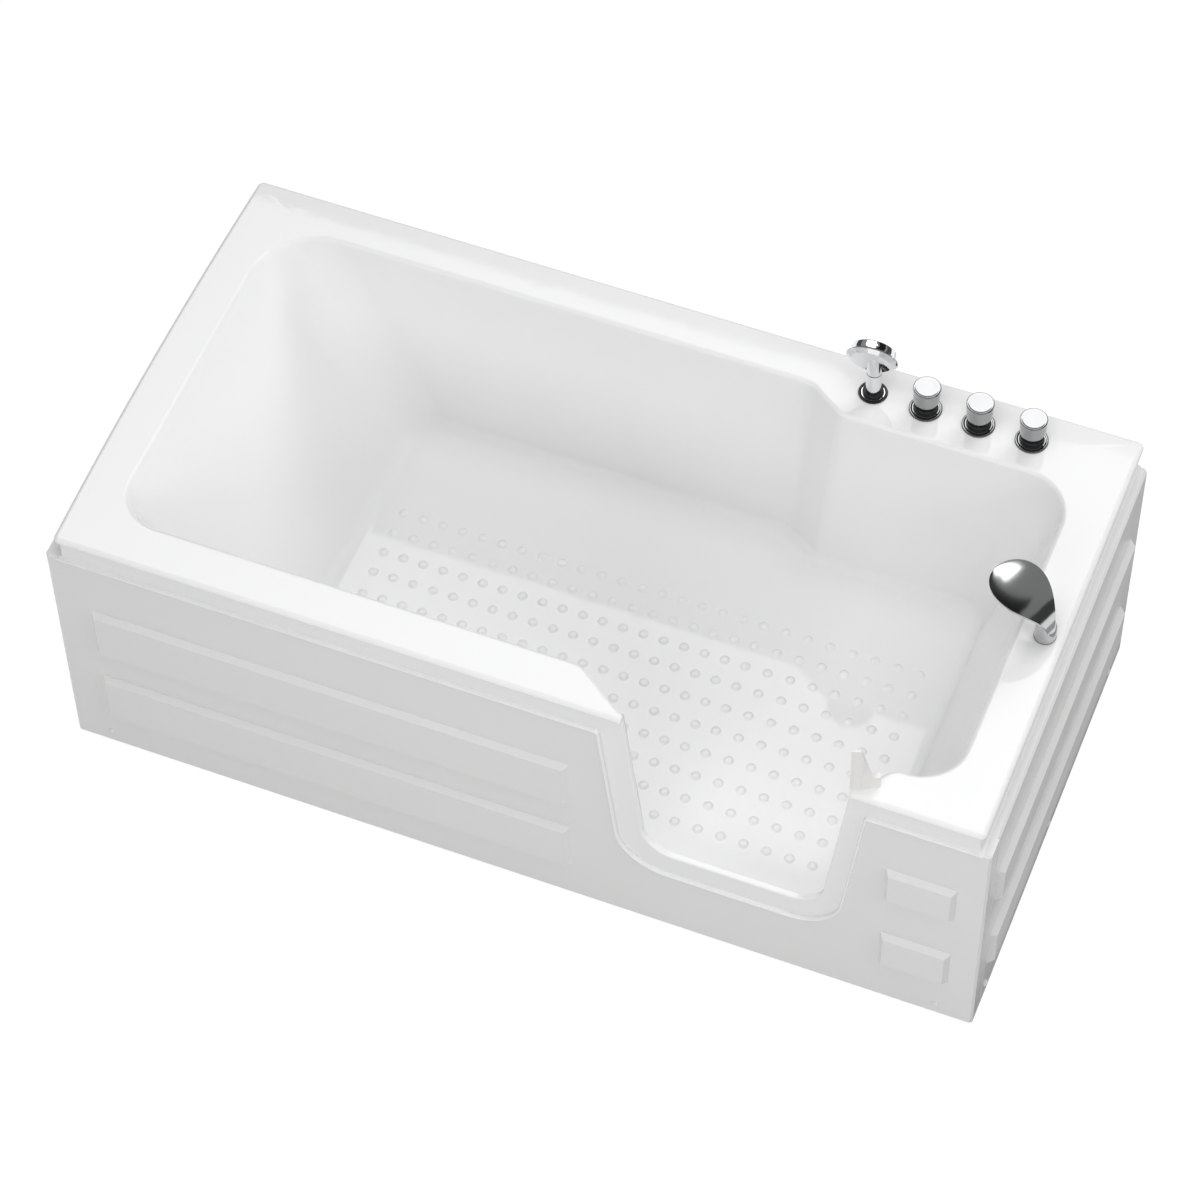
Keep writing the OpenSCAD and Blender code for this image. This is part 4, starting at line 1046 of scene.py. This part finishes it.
class BATHTUB_OT_spout(bpy.types.Operator):
    """Forms the waterfall spout: a dished blade on a round stem"""

    bl_idname = "bathtub.spout"
    bl_label = "Spout"

    LENGTH, HALF, HEEL_W, WIDEST = 119.0, 49.0, 11.0, 0.56
    HEEL_H, RISE, DISH, THICK = 38.0, 113.0, 4.0, 4.0
    TURN = radians(17)
    HEEL = (SPOUT[0] + 11.5, SPOUT[1] - 13.5)
    # The stem's top under the blade: its radius, the gap to the blade and the least edge left free
    NECK, GAP, FREE = 18.0, 0.3, 0.8

    def point(self, s, a, drop):
        """A point of the blade, s along from its heel and a across, in millimetres."""
        if s < self.WIDEST:
            swell = sin(pi / 2 * (s / self.WIDEST) ** 0.9)
            wide = self.HEEL_W + (self.HALF - self.HEEL_W) * swell
        else:
            wide = self.HALF * sqrt(max(1 - ((s - self.WIDEST) / (1 - self.WIDEST)) ** 2, 0))
        climb = self.RISE - self.DISH - self.HEEL_H
        high = self.HEEL_H + climb * sin(pi / 2 * sqrt(s))
        along, across = self.LENGTH * s, wide * a
        return (
            self.HEEL[0] - along * cos(self.TURN) + across * sin(self.TURN),
            self.HEEL[1] + along * sin(self.TURN) + across * cos(self.TURN),
            RIM_Z + high + self.DISH * a * a * wide / self.HALF - drop,
        )

    def execute(self, context):
        rows, cols = 60, 24
        verts, faces = [], []
        spots = [0.5 - 0.5 * cos(pi * k / rows) for k in range(rows)]
        widths = [sin(pi * (i / cols - 0.5)) for i in range(cols + 1)]
        for drop in (0, self.THICK):
            for s in spots:
                verts += [self.point(s, a, drop) for a in widths]
            verts.append(self.point(1, 0, drop))
        side = len(verts) // 2
        row = cols + 1
        for k in range(rows - 1):
            for i in range(cols):
                a, b = k * row + i, (k + 1) * row + i
                faces.append((a, a + 1, b + 1, b))
                faces.append((side + a, side + b, side + b + 1, side + a + 1))
        last = (rows - 1) * row
        tip = side - 1
        for i in range(cols):
            faces.append((last + i, last + i + 1, tip))
            faces.append((side + last + i + 1, side + last + i, side + tip))
            faces.append((i + 1, i, side + i, side + i + 1))
        for k in range(rows - 1):
            for i, flip in ((0, False), (cols, True)):
                a, b = k * row + i, (k + 1) * row + i
                face = (a, b, side + b, side + a)
                faces.append(face[::-1] if flip else face)
        faces.append((last, tip, side + tip, side + last))
        faces.append((tip, last + cols, side + last + cols, side + tip))
        blade = face_out(new_piece("spout_leaf", verts, faces, [blade_chrome()]))
        soften(blade, "Rolled edge", 0.0009, 3, 50)
        smooth(blade, 60)
        stand_in(blade, "tub", "chrome", "spout_blade")
        self.stem(context.scene.bathtub_fittings.turns)
        return {"FINISHED"}

    def stem(self, turns):
        """The round stem, drawn in under the blade, with its shank below the deck."""
        shank_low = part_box("spout_stem")[0].z / MM - RIM_Z
        rows = [(0, -4), (7.6, -4), (7.6, shank_low), (13, shank_low), (13, -0.2), (18.9, -0.2),
                (19.3, 0.3), (19.3, 1.8), (18.9, 2.4), (18.5, 2.8), (18.5, 12), (18.5, 24)]
        verts = []
        for radius, height in rows:
            verts += circle(radius, turns, *SPOUT, RIM_Z + height)
        ahead = Vector((-cos(self.TURN), sin(self.TURN)))
        across = Vector((sin(self.TURN), cos(self.TURN)))
        heel, drop = Vector(self.HEEL), self.THICK + self.GAP
        for x, y, _ in circle(self.NECK, turns, *SPOUT):
            arm = Vector((x, y)) - heel
            s = max(arm.dot(ahead) / self.LENGTH, 0.004)
            edge, middle = self.point(s, 1, drop), self.point(s, 0, drop)
            half = (Vector(edge[:2]) - Vector(middle[:2])).length - self.FREE
            side = max(-half, min(half, arm.dot(across)))
            spot = heel + ahead * max(arm.dot(ahead), 0.6) + across * side
            share = (side / half) ** 2
            verts.append((spot.x, spot.y, middle[2] + (edge[2] - middle[2]) * share))
        faces = bands(len(rows) + 1, turns)
        faces.append(tuple(range(len(rows) * turns, len(verts))))
        piece = face_out(new_piece("spout_foot", verts, faces, [polished_chrome()]), weld=0.00001)
        stand_in(smooth(piece, 40), "tub", "chrome", "spout_stem")


# ---- the studio ----


class BATHTUB_OT_stage(bpy.types.Operator):
    """Sets the floor, the lamps, the sky and the camera"""

    bl_idname = "bathtub.stage"
    bl_label = "Studio"

    # The eye, solved from the photograph's straight edges: place in metres, turns in degrees
    EYE, EYE_TURN, SENSOR = (1.64406, -4.02624, 6.33049), (35.68238, 0.52797, 21.50207), 36
    MIDDLE, BLADE = (0.0, 0.0, 0.3), (0.73, 0.0, 0.69)
    # Name, place, what it faces and size; each lamp's power is a property of the same name
    LAMPS = (
        ("Top", (0.3, -0.5, 4.6), (0.3, -0.5, 0.0), (3.0, 3.0)),
        ("Front", (0.2, -4.5, 2.6), MIDDLE, (3.0, 2.0)),
        ("Back", (1.6, 3.4, 3.0), MIDDLE, (2.0, 1.5)),
        ("Side", (4.0, -1.4, 2.6), MIDDLE, (2.0, 1.5)),
    )
    # The same, with the card's glow
    CARDS = (
        ("card_ceiling", (0.0, 0.5, 4.2), (0.0, 0.5, 0.0), (15.0, 14.0), 0.26),
        ("card_back", (0.0, 7.0, 2.1), (0.0, 0.0, 2.1), (15.0, 4.2), 0.07),
        ("card_front", (0.0, -6.5, 2.1), (0.0, 0.0, 2.1), (15.0, 4.2), 0.05),
        ("card_left", (-7.5, 0.0, 2.1), (0.0, 0.0, 2.1), (14.0, 4.2), 0.07),
        ("card_right", (7.5, 0.0, 2.1), (0.0, 0.0, 2.1), (14.0, 4.2), 0.06),
        ("card_black", (1.76, 2.1, 2.62), BLADE, (2.4, 1.2), 0.015),
        ("card_grey", (2.96, 1.29, 2.24), BLADE, (1.2, 0.8), 0.24),
        ("card_softbox", (-0.85, 1.96, 3.6), (-0.85, 1.96, 0.0), (2.7, 1.52), 2.6),
        ("card_window", (0.6, 1.54, 3.58), (0.6, 1.54, 0.0), (0.6, 1.08), 2.6),
    )
    # Floor strips that the foot end's apron mirrors: width and glow, from the tub outward. Their
    # dim glow is painted shade, the floor's shadow beside the tub as the apron mirrors it.
    STRIP_START, STRIP_Y, STRIP_Z, STRIP_LONG = 0.84, 0.3, 0.001, 2.2
    SHADE_STRIPS = ((0.016, 0.10), (0.022, 0.36), (0.030, 0.28), (0.9, 0.42))

    def execute(self, context):
        scene = context.scene
        values = scene.bathtub_stage
        scene.view_settings.view_transform = "Standard"
        self.floor(values.floor)
        self.sky(scene, values.sky)
        for name, at, towards, size in self.LAMPS:
            self.lamp(name, at, towards, size, getattr(values, name.lower()))
        for card in self.CARDS:
            self.card(*card)
        # Dim strips on the floor, seen only in mirrors: painted shade beside the foot end
        edge = self.STRIP_START
        for number, (wide, glow) in enumerate(self.SHADE_STRIPS):
            x, y, z = edge + wide / 2, self.STRIP_Y, self.STRIP_Z
            self.card(f"card_floor_{number}", (x, y, z), (x, y, 1.0), (wide, self.STRIP_LONG), glow)
            edge += wide
        self.camera(scene, values.lens)
        return {"FINISHED"}

    @staticmethod
    def blank(owner):
        """A material's or world's node tree, emptied."""
        owner.use_nodes = True
        owner.node_tree.nodes.clear()
        return owner.node_tree

    @staticmethod
    def by_ray(tree, light, seen, kind):
        """Light meets one shader; the eye, mirrors and glass meet the other."""
        path = tree.nodes.new("ShaderNodeLightPath")
        first = tree.nodes.new("ShaderNodeMath")
        second = tree.nodes.new("ShaderNodeMath")
        second.use_clamp = True
        choose = tree.nodes.new("ShaderNodeMixShader")
        wire(
            tree,
            (path, "Is Camera Ray", first, 0),
            (path, "Is Glossy Ray", first, 1),
            (first, 0, second, 0),
            (path, "Is Transmission Ray", second, 1),
            (second, 0, choose, "Fac"),
            (light, 0, choose, 1),
            (seen, 0, choose, 2),
            (choose, 0, tree.nodes.new(kind), "Surface"),
        )

    def floor(self, colour):
        """The floor, lit softly but seen as nearly white, with faint shadows."""
        half, count, level = 9000.0, 6, -0.4
        step = [half * (2 * i / count - 1) for i in range(count + 1)]
        verts = [(x, y, level) for y in step for x in step]
        row = count + 1
        corners = [j * row + i for j in range(count) for i in range(count)]
        faces = [(a, a + 1, a + row + 1, a + row) for a in corners]
        material = bpy.data.materials.new("Studio floor")
        tree = self.blank(material)
        lit = put(tree.nodes.new("ShaderNodeBsdfDiffuse"), Color=(*colour, 1))
        shade = put(tree.nodes.new("ShaderNodeBsdfDiffuse"), Color=(0.14, 0.14, 0.14, 1))
        glow = put(tree.nodes.new("ShaderNodeEmission"), Strength=0.92)
        both = tree.nodes.new("ShaderNodeAddShader")
        wire(tree, (glow, 0, both, 0), (shade, 0, both, 1))
        self.by_ray(tree, lit, both, "ShaderNodeOutputMaterial")
        new_piece("studio_floor", verts, faces, [material])

    def sky(self, scene, strength):
        """A light from all round that is seen as white."""
        scene.world = bpy.data.worlds.new("Studio sky")
        tree = self.blank(scene.world)
        light, seen = (
            put(tree.nodes.new("ShaderNodeBackground"), Color=(1, 1, 1, 1), Strength=level)
            for level in (strength, 1.0)
        )
        self.by_ray(tree, light, seen, "ShaderNodeOutputWorld")

    def camera(self, scene, lens):
        eye = bpy.data.cameras.new("Eye")
        eye.lens = lens
        eye.sensor_width = self.SENSOR
        camera = bpy.data.objects.new("Eye", eye)
        camera.location = self.EYE
        camera.rotation_euler = [radians(a) for a in self.EYE_TURN]
        scene.collection.objects.link(camera)
        scene.camera = camera

    @staticmethod
    def lamp(name, at, towards, size, power):
        """A soft lamp that mirrors don't see."""
        data = bpy.data.lights.new(name, "AREA")
        data.shape = "RECTANGLE"
        data.size, data.size_y = size
        data.energy = power
        lamp = bpy.data.objects.new(name, data)
        lamp.location = at
        lamp.rotation_euler = (Vector(towards) - Vector(at)).to_track_quat("-Z", "Y").to_euler()
        lamp.visible_glossy = False
        bpy.context.scene.collection.objects.link(lamp)

    def card(self, name, at, towards, size, glow):
        """A card that only mirrors see, dark or with a soft glow."""
        material = bpy.data.materials.new(name)
        tree = self.blank(material)
        light = put(tree.nodes.new("ShaderNodeEmission"), Strength=glow)
        wire(tree, (light, 0, tree.nodes.new("ShaderNodeOutputMaterial"), "Surface"))
        w, h = size[0] / 2 / MM, size[1] / 2 / MM
        corners = [(-w, -h, 0), (w, -h, 0), (w, h, 0), (-w, h, 0)]
        card = new_piece(name, corners, [(0, 1, 2, 3)], [material])
        card.location = at
        card.rotation_euler = (Vector(towards) - Vector(at)).to_track_quat("Z", "Y").to_euler()
        card.visible_camera = card.visible_diffuse = False
        card.visible_transmission = card.visible_shadow = False


# ---- panel and registration ----


STEPS = (
    BATHTUB_OT_shell,
    BATHTUB_OT_bead,
    BATHTUB_OT_grips,
    BATHTUB_OT_panels,
    BATHTUB_OT_frame,
    BATHTUB_OT_pipework,
    BATHTUB_OT_taps,
    BATHTUB_OT_hand_shower,
    BATHTUB_OT_spout,
    BATHTUB_OT_stage,
)
SETTINGS = {
    "bathtub_shell": BathtubShellSettings,
    "bathtub_fittings": BathtubFittingSettings,
    "bathtub_stage": BathtubStageSettings,
}


class BATHTUB_PT_sidebar(bpy.types.Panel):
    """Lists the bathtub's pieces and its sizes and colours"""

    bl_idname = "BATHTUB_PT_sidebar"
    bl_label = "Walk-in Bathtub"
    bl_space_type = "VIEW_3D"
    bl_region_type = "UI"
    bl_category = "Bathtub"

    def draw(self, context):
        for step in STEPS:
            self.layout.operator(step.bl_idname)
        for name, settings in SETTINGS.items():
            box = self.layout.box()
            for prop in settings.__annotations__:
                box.prop(getattr(context.scene, name), prop)


CLASSES = (*SETTINGS.values(), *STEPS, BATHTUB_PT_sidebar)


def register():
    for each in CLASSES:
        bpy.utils.register_class(each)
    for name, settings in SETTINGS.items():
        setattr(bpy.types.Scene, name, PointerProperty(type=settings))


def unregister():
    for name in SETTINGS:
        delattr(bpy.types.Scene, name)
    for each in reversed(CLASSES):
        bpy.utils.unregister_class(each)


def main():
    register()
    bpy.ops.bathtub.shell()
    bpy.ops.bathtub.bead()
    bpy.ops.bathtub.grips()
    bpy.ops.bathtub.panels()
    bpy.ops.bathtub.frame()
    bpy.ops.bathtub.pipework()
    bpy.ops.bathtub.taps()
    bpy.ops.bathtub.hand_shower()
    bpy.ops.bathtub.spout()
    bpy.ops.bathtub.stage()
    bpy.context.view_layer.update()


if __name__ == "__main__":
    main()
